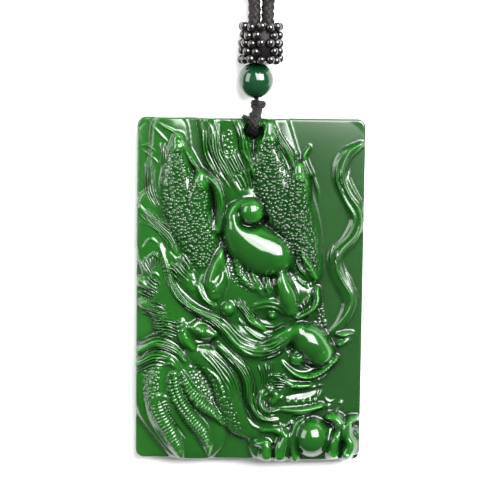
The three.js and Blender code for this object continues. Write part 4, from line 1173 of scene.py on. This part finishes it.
cut(tablet, drill())
cut(tablet, channel_block())
print("tablet triangles:", sum(len(p.vertices) - 2 for p in tablet.data.polygons))

# %% [markdown]
# The colour gets painted shade in the grooves and painted light on the crests from one number:
# each vertex gets the height of its surroundings less its own. It also gets its own height, and
# the numbers for the fine lines and pebbles.

# %% Groove attribute
BLUR_STEPS = 5
GROOVE_GAIN = 3
CARVED_FROM = 3.0
HALF_STEP = 0.02


def add_attributes():
    # This drives the painted shade in the grooves and the painted light on the crests.
    groove = blurred(blurred(level, BLUR_STEPS), BLUR_STEPS) - level
    places = np.empty(3 * len(tablet.data.vertices))
    tablet.data.vertices.foreach_get("co", places)
    places = places.reshape(-1, 3) / MM
    drawn_y = places[:, 1] * DRAWN_LENGTH / PLAQUE_LENGTH
    i = np.clip(np.searchsorted(columns, places[:, 0] - HALF_STEP), 0, len(columns) - 1)
    j = np.clip(np.searchsorted(rows, drawn_y - HALF_STEP), 0, len(rows) - 1)
    carved = places[:, 2] > CARVED_FROM
    fields = {
        "groove": np.clip(0.5 + GROOVE_GAIN * groove, 0, 1),
        "height": np.clip(level, 0, 1),
        "line_count": line_count,
        "line_rise": line_rise,
        "pebble_rise": pebble_rise,
    }
    for name, field in fields.items():
        attribute = tablet.data.attributes.new(name, "FLOAT", "POINT")
        attribute.data.foreach_set("value", np.where(carved, field[j, i], 0))
    for polygon in tablet.data.polygons:
        polygon.use_smooth = polygon.normal.z > -0.9


add_attributes()
print("attributes on", len(tablet.data.vertices), "vertices")

# %% [markdown]
# ## Round bead
# The bead is turned round the cord's line, with its hole drawn through it and the hole's lips
# bevelled. A short stretch of cord passes through it, from the knot into the sleeve.

# %% Round bead
bead_middle = [(low + high) / 2 for low, high in zip(bead_low, bead_high)]
BEAD_RADIUS = (bead_high[0] - bead_low[0]) / 2
BORE_RADIUS = 0.62 * MM
LIP = 0.12 * MM
INNER_CORD = 1.05 * MM
INNER_PITCH = 2.4 * MM


def bead_profile():
    first = math.asin((BORE_RADIUS + LIP) / BEAD_RADIUS)
    outer = [(BEAD_RADIUS * math.sin(a), BEAD_RADIUS * math.cos(a))
             for a in np.linspace(first, math.pi - first, 40)]
    end = outer[0][1] - LIP
    return outer + [(BORE_RADIUS, -end), (BORE_RADIUS, end)]


round_bead = lathe("round_bead", bead_profile(), bead_middle, 64)
inner_points = [Vector((knot_middle[0], knot_high[1] - 0.6 * MM, knot_middle[2])),
                Vector((bead_middle[0], bead_low[1] + 0.6 * MM, bead_middle[2])),
                Vector(bead_middle),
                Vector((bead_middle[0], bead_high[1] - 0.6 * MM, bead_middle[2])),
                Vector((collar_x, collar_low[1] + 0.8 * MM, collar_z))]
bead_cord = braid("bead_cord", smooth_line(inner_points, 0.2 * MM), INNER_CORD, INNER_CORD, INNER_PITCH,
                  strands=4, fatness=1.0)
print("bead radius, metres:", round(BEAD_RADIUS, 5))

# %% [markdown]
# ## Sleeve of seed beads
# The sleeve is woven from glossy black seed beads in five staggered rows. Geometry Nodes lays
# one small drilled bead on every point of the rows, turned to face outwards, and gives each a
# slightly different size, angle and place from a fixed seed.

# %% Seed bead
SEED_ROWS = 5
SEEDS_PER_ROW = 12
RING_RADIUS = 3.4 * MM
ROW_PITCH = 1.5 * MM
SEED_HOLE = 0.26 * MM


def seed_profile():
    """Half of a doughnut section with a flat wall at the bore."""
    wall = SEED_RADIUS - SEED_HOLE
    return [(SEED_HOLE + wall * max(0.0, math.sin(a)) ** 0.9, 0.95 * SEED_RADIUS * math.cos(a))
            for a in np.linspace(0.0, math.pi, 6)]


seed = lathe("seed", seed_profile(), (0, 0, 0), 12)
print("faces of one seed bead:", len(seed.data.polygons))

# %% [markdown]
# The node tree makes one circle of points for each row, turned by half a bead in every other
# row, and puts a seed bead on each. Every third bead of the second and fourth rows is left
# out, so that the sleeve is an open net. It ends as plain mesh.

# %% Sleeve by Geometry Nodes
SEAT_SHIFT = (0.14 * MM, 0.2 * MM, 0.12 * MM)
WOBBLE = (0.22, 0.1, 0.22)
SMALLEST = 0.94
from_group = {}


def value_math(nodes, links, operation, a, b=None):
    """A math node. Its inputs are sockets or numbers."""
    node = nodes.new("ShaderNodeMath")
    node.operation = operation
    for socket, value in zip(node.inputs, (a, b)):
        if isinstance(value, (int, float)):
            socket.default_value = value
        elif value is not None:
            links.new(value, socket)
    return node.outputs[0]


def random_vector(nodes, links, inside, reach):
    """A random vector for each point, between the reach's negative and itself."""
    node = nodes.new("FunctionNodeRandomValue")
    node.data_type = "FLOAT_VECTOR"
    node.inputs[0].default_value = [-r for r in reach]
    node.inputs[1].default_value = reach
    links.new(inside.outputs["Chance"], node.inputs["Seed"])
    return node.outputs[0]


def vector_sum(nodes, links, a, b):
    node = nodes.new("ShaderNodeVectorMath")
    links.new(a, node.inputs[0])
    links.new(b, node.inputs[1])
    return node.outputs[0]


def seat_points(nodes, links, inside):
    """The open rows of points, and the angle of each round the sleeve."""

    def math_node(operation, a, b=None):
        return value_math(nodes, links, operation, a, b)

    per_row = inside.outputs["Per Row"]
    points = nodes.new("GeometryNodePoints")
    links.new(math_node("MULTIPLY", inside.outputs["Rows"], per_row), points.inputs["Count"])
    index = nodes.new("GeometryNodeInputIndex").outputs[0]
    row = math_node("FLOOR", math_node("DIVIDE", index, per_row))
    place = math_node("SUBTRACT", index, math_node("MULTIPLY", row, per_row))
    odd_row = math_node("MODULO", row, 2)
    share = math_node("DIVIDE", math_node("ADD", place, math_node("MULTIPLY", odd_row, 0.5)), per_row)
    angle = math_node("MULTIPLY", share, 2 * math.pi)
    middle = math_node("DIVIDE", math_node("SUBTRACT", inside.outputs["Rows"], 1), 2)
    spot = nodes.new("ShaderNodeCombineXYZ")
    links.new(math_node("MULTIPLY", inside.outputs["Radius"], math_node("COSINE", angle)), spot.inputs[0])
    links.new(math_node("MULTIPLY", math_node("SUBTRACT", row, middle), inside.outputs["Row Pitch"]),
              spot.inputs[1])
    links.new(math_node("MULTIPLY", inside.outputs["Radius"], math_node("SINE", angle)), spot.inputs[2])
    shift = random_vector(nodes, links, inside, SEAT_SHIFT)
    links.new(vector_sum(nodes, links, spot.outputs[0], shift), points.inputs["Position"])
    third = math_node("COMPARE", math_node("MODULO", place, 3), 2)
    opened = nodes.new("GeometryNodeDeleteGeometry")
    links.new(points.outputs[0], opened.inputs["Geometry"])
    links.new(math_node("MULTIPLY", odd_row, third), opened.inputs["Selection"])
    return opened.outputs[0], angle


def sleeve_tree():
    tree = bpy.data.node_groups.new("seed_sleeve", "GeometryNodeTree")
    for name, kind in (("Seed", "NodeSocketObject"), ("Rows", "NodeSocketInt"), ("Per Row", "NodeSocketInt"),
                       ("Radius", "NodeSocketFloat"), ("Row Pitch", "NodeSocketFloat"),
                       ("Chance", "NodeSocketInt"), ("Finish", "NodeSocketMaterial")):
        from_group[name] = tree.interface.new_socket(name=name, in_out="INPUT", socket_type=kind).identifier
    tree.interface.new_socket(name="Geometry", in_out="OUTPUT", socket_type="NodeSocketGeometry")
    nodes, links = tree.nodes, tree.links
    inside = nodes.new("NodeGroupInput")
    outside = nodes.new("NodeGroupOutput")
    seats, angle = seat_points(nodes, links, inside)
    info = nodes.new("GeometryNodeObjectInfo")
    links.new(inside.outputs["Seed"], info.inputs["Object"])
    place_on = nodes.new("GeometryNodeInstanceOnPoints")
    links.new(seats, place_on.inputs["Points"])
    links.new(info.outputs["Geometry"], place_on.inputs["Instance"])
    turn = nodes.new("ShaderNodeCombineXYZ")
    links.new(value_math(nodes, links, "SUBTRACT", math.pi / 2, angle), turn.inputs[1])
    wobble = random_vector(nodes, links, inside, WOBBLE)
    links.new(vector_sum(nodes, links, turn.outputs[0], wobble), place_on.inputs["Rotation"])
    size = nodes.new("FunctionNodeRandomValue")
    size.data_type = "FLOAT"
    size.inputs[2].default_value = SMALLEST
    size.inputs[3].default_value = 1.0
    links.new(inside.outputs["Chance"], size.inputs["Seed"])
    links.new(size.outputs[1], place_on.inputs["Scale"])
    real = nodes.new("GeometryNodeRealizeInstances")
    links.new(place_on.outputs[0], real.inputs[0])
    finish = nodes.new("GeometryNodeSetMaterial")
    links.new(real.outputs[0], finish.inputs["Geometry"])
    links.new(inside.outputs["Finish"], finish.inputs["Material"])
    links.new(finish.outputs[0], outside.inputs[0])
    return tree


sleeve_nodes = sleeve_tree()
print("nodes in the sleeve's tree:", len(sleeve_nodes.nodes))

# %% [markdown]
# The tree runs once on an empty mesh. Its result is kept as plain mesh, and the modifier goes.

# %% Growing the sleeve
CHANCE = 4


def grown(name, tree, settings, seat):
    """The plain mesh that a node tree makes, moved to its seat."""
    carrier = mesh_object(name, [], [])
    step = carrier.modifiers.new("grow", "NODES")
    step.node_group = tree
    for socket, value in settings.items():
        step[from_group[socket]] = value
    bpy.context.view_layer.update()
    done = bpy.data.meshes.new_from_object(carrier.evaluated_get(bpy.context.evaluated_depsgraph_get()))
    carrier.modifiers.remove(step)
    carrier.data = done
    done.transform(Matrix.Translation(seat))
    return carrier


glass = bpy.data.materials.new("black_seed_glass")
collar_middle = Vector((collar_x, (collar_low[1] + collar_high[1]) / 2, collar_z))
seed_sleeve = grown("seed_sleeve", sleeve_nodes, {
    "Seed": seed, "Rows": SEED_ROWS, "Per Row": SEEDS_PER_ROW, "Radius": RING_RADIUS,
    "Row Pitch": ROW_PITCH, "Chance": CHANCE, "Finish": glass,
}, collar_middle)
bpy.data.objects.remove(seed)
print("sleeve faces:", len(seed_sleeve.data.polygons))

# %% [markdown]
# Inside the sleeve run the woven thread and the cord's strands. They show as dark lines
# between the beads, so a plain dark core closes the view through the sleeve.

# %% Sleeve core
CORE_RADIUS = RING_RADIUS - 0.35 * SEED_RADIUS
CORE_SHARE = 0.44
CORE_BEVEL = 0.8 * MM
CORE_SHOULDER = 0.5 * MM
CORE_BORE = 0.9 * MM
core_half = CORE_SHARE * (collar_high[1] - collar_low[1])
core_profile = [(CORE_RADIUS - CORE_BEVEL, core_half), (CORE_RADIUS, core_half - CORE_SHOULDER),
                (CORE_RADIUS, CORE_SHOULDER - core_half), (CORE_RADIUS - CORE_BEVEL, -core_half),
                (CORE_BORE, -core_half), (CORE_BORE, core_half)]
sleeve_core = lathe("sleeve_core", core_profile, collar_middle, 40)
print("core radius, metres:", round(CORE_RADIUS, 5))

# %% [markdown]
# ## Materials
# Each kind of finish is a node group whose colours and values feed the material's own shader.
# These helpers add one node each to a group.

# %% Node helpers


def mixed(nodes, links, share, a, b):
    """A colour mixed from two, each a socket or four numbers."""
    node = nodes.new("ShaderNodeMix")
    node.data_type = "RGBA"
    for socket, value in ((node.inputs[0], share), (node.inputs[6], a), (node.inputs[7], b)):
        if isinstance(value, (int, float, tuple)):
            socket.default_value = value
        else:
            links.new(value, socket)
    return node.outputs[2]


def new_group(name, inputs, outputs):
    tree = bpy.data.node_groups.new(name, "ShaderNodeTree")
    for socket, kind in inputs:
        tree.interface.new_socket(name=socket, in_out="INPUT", socket_type="NodeSocket" + kind)
    for socket, kind in outputs:
        tree.interface.new_socket(name=socket, in_out="OUTPUT", socket_type="NodeSocket" + kind)
    return tree, tree.nodes.new("NodeGroupInput"), tree.nodes.new("NodeGroupOutput")


def noise(nodes, links, scale, detail):
    place = nodes.new("ShaderNodeTexCoord")
    node = nodes.new("ShaderNodeTexNoise")
    node.inputs["Scale"].default_value = scale
    node.inputs["Detail"].default_value = detail
    links.new(place.outputs["Object"], node.inputs["Vector"])
    return node.outputs[0]


print("colour mixes and noises are ready")

# %% [markdown]
# ### Stone
# The two stones share one group. It clouds the green slightly, makes it paler to the left,
# adds painted shade in the grooves and painted light on the crests. It also draws the fine
# lines and the pebbles, as a relief for the bump and as painted shade in the gaps between them
# in the colour. High places are polished, and the flat ground is a little duller. The pairs of
# numbers are a factor and an offset.

# %% Stone group
PEBBLE_PITCH = 0.68
DRIFT = 0.2
GROUND_ROUGHNESS = 0.24
POLISHED_ROUGHNESS = 0.09
SATIN_FALL = -0.6
GRAIN_ROUGHNESS = 0.04
CLOUD_SCALE = 130.0
GRAIN_SCALE = 900.0
CLOUD_SHARE = 0.5
UNEVEN_LINES = (0.7, 0.5)
PEBBLE_SPREAD = 0.9
PEBBLE_DOME = (-3.6, 1.0)
# Painted shade: the grooves are mixed towards the dark green.
GROOVE_PAINTED_SHADE = (2.0, -1.05)
# Painted light: the crests are mixed towards the pale green.
CREST_PAINTED_LIGHT = (-1.6, 0.72)
# Painted shade: the gaps between the fine lines and between the pebbles are darkened.
GAP_PAINTED_SHADE = 2.5


def stone_group():
    tree, inside, outside = new_group(
        "polished_stone",
        (("Groove", "Float"), ("Height", "Float"), ("Line Count", "Float"), ("Line Rise", "Float"),
         ("Pebble Rise", "Float"), ("Body", "Color"), ("Deep And Shade", "Color"), ("Pale And Crest Light", "Color")),
        (("Color", "Color"), ("Roughness", "Float"), ("Relief", "Float")))
    nodes, links = tree.nodes, tree.links

    def times_plus(a, b, c, clamp=False):
        out = value_math(nodes, links, "MULTIPLY_ADD", a, b)
        if isinstance(c, (int, float)):
            out.node.inputs[2].default_value = c
        else:
            links.new(c, out.node.inputs[2])
        out.node.use_clamp = clamp
        return out

    count = inside.outputs["Line Count"]
    across = value_math(nodes, links, "FRACT", count, 0)
    rest = value_math(nodes, links, "SUBTRACT", 1, across)
    profile = value_math(nodes, links, "MULTIPLY", value_math(nodes, links, "MULTIPLY", across, rest), 4)
    each = nodes.new("ShaderNodeTexWhiteNoise")
    each.noise_dimensions = "1D"
    links.new(value_math(nodes, links, "FLOOR", count, 0), each.inputs["W"])
    uneven = times_plus(each.outputs[0], *UNEVEN_LINES)
    lines = value_math(nodes, links, "MULTIPLY", value_math(nodes, links, "MULTIPLY", profile, uneven),
                       inside.outputs["Line Rise"])

    place = nodes.new("ShaderNodeTexCoord")
    cells = nodes.new("ShaderNodeTexVoronoi")
    cells.voronoi_dimensions = "2D"
    cells.inputs["Scale"].default_value = 1 / (PEBBLE_PITCH * MM)
    cells.inputs["Randomness"].default_value = PEBBLE_SPREAD
    links.new(place.outputs["Object"], cells.inputs["Vector"])
    away = cells.outputs["Distance"]
    dome = times_plus(value_math(nodes, links, "MULTIPLY", away, away), *PEBBLE_DOME, clamp=True)
    relief = times_plus(dome, inside.outputs["Pebble Rise"], lines)
    links.new(relief, outside.inputs["Relief"])

    cloud = noise(nodes, links, CLOUD_SCALE, 3.0)
    split = nodes.new("ShaderNodeSeparateXYZ")
    links.new(place.outputs["Object"], split.inputs[0])
    leftward = times_plus(split.outputs[0], -DRIFT / (0.5 * PLAQUE_WIDTH * MM), 0.5 * DRIFT, clamp=True)
    veiled = mixed(nodes, links, value_math(nodes, links, "MULTIPLY", cloud, CLOUD_SHARE),
                   inside.outputs["Body"], inside.outputs["Deep And Shade"])
    body = mixed(nodes, links, leftward, veiled, inside.outputs["Pale And Crest Light"])
    # Painted shade: the grooves' share of the dark green, which also clouds the stone.
    depth = times_plus(inside.outputs["Groove"], *GROOVE_PAINTED_SHADE, clamp=True)
    # Painted shade in the gaps between the fine lines and between the pebbles.
    between_lines = value_math(nodes, links, "MULTIPLY", value_math(nodes, links, "SUBTRACT", 1, profile),
                               inside.outputs["Line Rise"])
    between_pebbles = value_math(nodes, links, "MULTIPLY", value_math(nodes, links, "SUBTRACT", 1, dome),
                                 inside.outputs["Pebble Rise"])
    shaded_gaps = value_math(nodes, links, "ADD", between_lines, between_pebbles)
    depth = times_plus(shaded_gaps, GAP_PAINTED_SHADE, depth, clamp=True)
    # Painted light: the crests' share of the pale green, which also makes the stone paler to the left.
    crest_light_share = times_plus(inside.outputs["Groove"], *CREST_PAINTED_LIGHT, clamp=True)
    with_painted_shade = mixed(nodes, links, depth, body, inside.outputs["Deep And Shade"])
    with_painted_light = mixed(nodes, links, crest_light_share, with_painted_shade, inside.outputs["Pale And Crest Light"])
    links.new(with_painted_light, outside.inputs["Color"])

    fine = noise(nodes, links, GRAIN_SCALE, 2.0)
    satin = times_plus(inside.outputs["Height"], SATIN_FALL, GROUND_ROUGHNESS)
    polished = value_math(nodes, links, "MAXIMUM", satin, POLISHED_ROUGHNESS)
    links.new(times_plus(fine, GRAIN_ROUGHNESS, polished), outside.inputs["Roughness"])
    return tree


stone_tree = stone_group()
print("node group:", stone_tree.name)

# %% [markdown]
# ### Fibres
# The cord's group multiplies two noises into flecks of a lighter brown. The glass and the
# sheet below use it too, each with two colours that are near each other. The flecks' factor
# and offset turn the noise into the share of the lighter one.

# %% Fibre group
STRAND_SCALE = 1400.0
FIBRE_SCALE = 5200.0
FLECK_FACTOR = 4.0
FLECK_OFFSET = -0.75


def fibre_group():
    tree, inside, outside = new_group(
        "cord_fibres", (("Dark", "Color"), ("Light", "Color"), ("Scale", "Float")),
        (("Color", "Color"), ("Height", "Float")))
    nodes, links = tree.nodes, tree.links
    coarse = noise(nodes, links, STRAND_SCALE, 2.0)
    fine = noise(nodes, links, FIBRE_SCALE, 3.0)
    links.new(inside.outputs["Scale"], fine.node.inputs["Scale"])
    share = value_math(nodes, links, "MULTIPLY", coarse, fine)
    share = value_math(nodes, links, "MULTIPLY_ADD", share, FLECK_FACTOR)
    share.node.inputs[2].default_value = FLECK_OFFSET
    share.node.use_clamp = True
    links.new(mixed(nodes, links, share, inside.outputs["Dark"], inside.outputs["Light"]),
              outside.inputs["Color"])
    links.new(fine, outside.inputs["Height"])
    return tree


fibre_tree = fibre_group()
print("node group:", fibre_tree.name)

# %% [markdown]
# ### Finishes
# Both stones are glossy and let a little light in. The cord is dull, with a slight bump from
# its fibres. The seed beads are almost black glass.

# %% Stone, glass and cord
STONE_IOR = 1.54
GLASS_IOR = 1.6
GLOW_DEPTH = 1.2 * MM


def linear(red, green, blue):
    """A colour in the numbers that shaders take, from its 0 to 255 values."""
    return tuple((c / 255 / 12.92) if c < 10.3 else ((c / 255 + 0.055) / 1.055) ** 2.4
                 for c in (red, green, blue)) + (1.0,)


def with_group(material, tree, settings):
    """Puts a group in front of the material's own shader. Returns nodes, links, group and shader."""
    material.use_nodes = True
    nodes, links = material.node_tree.nodes, material.node_tree.links
    group = nodes.new("ShaderNodeGroup")
    group.node_tree = tree
    for name, value in settings.items():
        group.inputs[name].default_value = value
    shader = nodes["Principled BSDF"]
    links.new(group.outputs["Color"], shader.inputs["Base Color"])
    return nodes, links, group, shader


def stone_material(name, body, deep_and_shade, pale_and_crest_light, subsurface, carved):
    """Carved is a list of the group's inputs that the mesh has attributes for."""
    material = bpy.data.materials.new(name)
    nodes, links, group, shader = with_group(material, stone_tree, {
        "Groove": 0.5, "Height": 1.0, "Body": body, "Deep And Shade": deep_and_shade, "Pale And Crest Light": pale_and_crest_light})
    links.new(group.outputs["Roughness"], shader.inputs["Roughness"])
    for field in carved:
        attribute = nodes.new("ShaderNodeAttribute")
        attribute.attribute_name = field.lower().replace(" ", "_")
        links.new(attribute.outputs["Fac"], group.inputs[field])
    if carved:
        bump = nodes.new("ShaderNodeBump")
        bump.inputs["Distance"].default_value = MM
        links.new(group.outputs["Relief"], bump.inputs["Height"])
        links.new(bump.outputs["Normal"], shader.inputs["Normal"])
    shader.inputs["IOR"].default_value = STONE_IOR
    shader.inputs["Subsurface Weight"].default_value = subsurface
    shader.inputs["Subsurface Radius"].default_value = (0.6, 1.0, 0.5)
    shader.inputs["Subsurface Scale"].default_value = GLOW_DEPTH
    return material


def cord_material():
    material = bpy.data.materials.new("brown_cord")
    nodes, links, group, shader = with_group(material, fibre_tree, {
        "Dark": linear(4, 3, 3), "Light": linear(34, 26, 25), "Scale": FIBRE_SCALE})
    bump = nodes.new("ShaderNodeBump")
    bump.inputs["Strength"].default_value = 0.4
    bump.inputs["Distance"].default_value = 0.04 * MM
    links.new(group.outputs["Height"], bump.inputs["Height"])
    links.new(bump.outputs["Normal"], shader.inputs["Normal"])
    shader.inputs["Roughness"].default_value = 0.55
    shader.inputs["Specular IOR Level"].default_value = 0.18
    return material


def glass_material(material):
    shader = with_group(material, fibre_tree, {
        "Dark": linear(8, 8, 8), "Light": linear(30, 24, 22), "Scale": 700.0})[-1]
    shader.inputs["Roughness"].default_value = 0.07
    shader.inputs["IOR"].default_value = GLASS_IOR
    return material


def dress(made, material):
    made.data.materials.clear()
    made.data.materials.append(material)


print("finishes are ready to mix")

# %% [markdown]
# The tablet gets the stone with all its carved fields, the round bead a darker, bluer one
# without them. The plain CAD solids get the same finishes as the pieces that stand for them.

# %% Dressing the pieces
# The darker green also gives the painted shade in grooves and gaps, the paler green the painted light on
# crests.
green_stone = stone_material("green_stone", linear(14, 58, 12), linear(4, 21, 5),
                             linear(32, 100, 25), 0.3,
                             ["Groove", "Height", "Line Count", "Line Rise", "Pebble Rise"])
dark_green_stone = stone_material("dark_green_stone", linear(8, 46, 24), linear(5, 30, 17),
                                  linear(24, 68, 36), 0.2, [])
brown_cord = cord_material()
glass_material(glass)
core_material = cord_material()
core_material.name = "woven_thread"
core_material.node_tree.nodes["Group"].inputs["Light"].default_value = linear(14, 10, 10)
dress(tablet, green_stone)
dress(round_bead, dark_green_stone)
dress(seed_sleeve, glass)
dress(sleeve_core, core_material)
for made in (neck_cord, hanging_loop, cut_end, knot_braid, bead_cord):
    dress(made, brown_cord)
for node, finish in (("jade_plaque", green_stone), ("green_bead", dark_green_stone),
                     ("seed_bead_collar", glass), ("lower_knot", brown_cord), ("hanging_loop", brown_cord),
                     ("neck_strand_left", brown_cord), ("neck_strand_right", brown_cord),
                     ("neck_cord_coil", brown_cord)):
    dress(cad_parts[node], finish)
print("materials:", len(bpy.data.materials))

# %% [markdown]
# ## Floor and light
# The pendant lies on a white sheet. Two soft boxes, one at the upper right and one at the
# left, make the two window-shaped lights on the round bead and the long lights on the
# forehead and snout. A panel high up beyond the tablet's top right corner gives that corner a
# pale haze.

# %% Floor and light
FLOOR_SIDE = 3.0
LAMP_DISTANCE = 0.5
ROOM_LIGHT = 0.18


def add_floor():
    half = FLOOR_SIDE / 2
    made = mesh_object("floor", [(-half, -half, 0), (half, -half, 0), (half, half, 0), (-half, half, 0)],
                       [(0, 1, 2, 3)], smooth=False)
    material = bpy.data.materials.new("white_sheet")
    shader = with_group(material, fibre_tree, {
        "Dark": linear(250, 250, 250), "Light": linear(255, 255, 255), "Scale": 900.0})[-1]
    shader.inputs["Roughness"].default_value = 0.9
    shader.inputs["Specular IOR Level"].default_value = 0.1
    dress(made, material)
    return made


def soft_box(name, direction, width, height, power):
    """A rectangular lamp that looks at the tablet from a direction, upright in the camera's view."""
    data = bpy.data.lights.new(name, "AREA")
    data.shape = "RECTANGLE"
    data.size = width
    data.size_y = height
    data.energy = power
    lamp = bpy.data.objects.new(name, data)
    away = Vector(direction).normalized()
    across = Vector((0, 1, 0)).cross(away).normalized()
    turn = Matrix((across, away.cross(across), away)).transposed()
    lamp.matrix_world = Matrix.Translation(AIM + LAMP_DISTANCE * away) @ turn.to_4x4()
    bpy.context.collection.objects.link(lamp)
    return lamp


floor = add_floor()
soft_box("right_box", (0.56, 0.44, 0.70), width=0.27, height=0.33, power=3.3)
soft_box("left_box", (-0.79, 0.35, 0.50), width=0.24, height=0.42, power=2.6)
soft_box("haze_panel", (0.43, 0.61, 0.86), width=0.42, height=0.42, power=9.0)
world = bpy.data.worlds.new("dim_room")
world.use_nodes = True
world.node_tree.nodes["Background"].inputs["Color"].default_value = (1, 1, 1, 1)
world.node_tree.nodes["Background"].inputs["Strength"].default_value = ROOM_LIGHT
bpy.context.scene.world = world
bpy.context.scene.view_settings.view_transform = "Standard"

# %% [markdown]
# ## Joining the frame
# Every piece rides on the pendant's one body. Six of them stand for the imported solids. The
# cut end, the cord inside the bead and the sleeve's core stand for none.

# %% Joining the frame
on_the_cord = [hanging_loop, cut_end, knot_braid, round_bead, bead_cord, seed_sleeve, sleeve_core]
for made in [tablet, neck_cord] + on_the_cord:
    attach(made, BODY)
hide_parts("jade_plaque")
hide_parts("hanging_loop")
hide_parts("lower_knot")
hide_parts("green_bead")
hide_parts("seed_bead_collar")
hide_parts("neck_strand_left", "neck_strand_right", "neck_cord_coil")
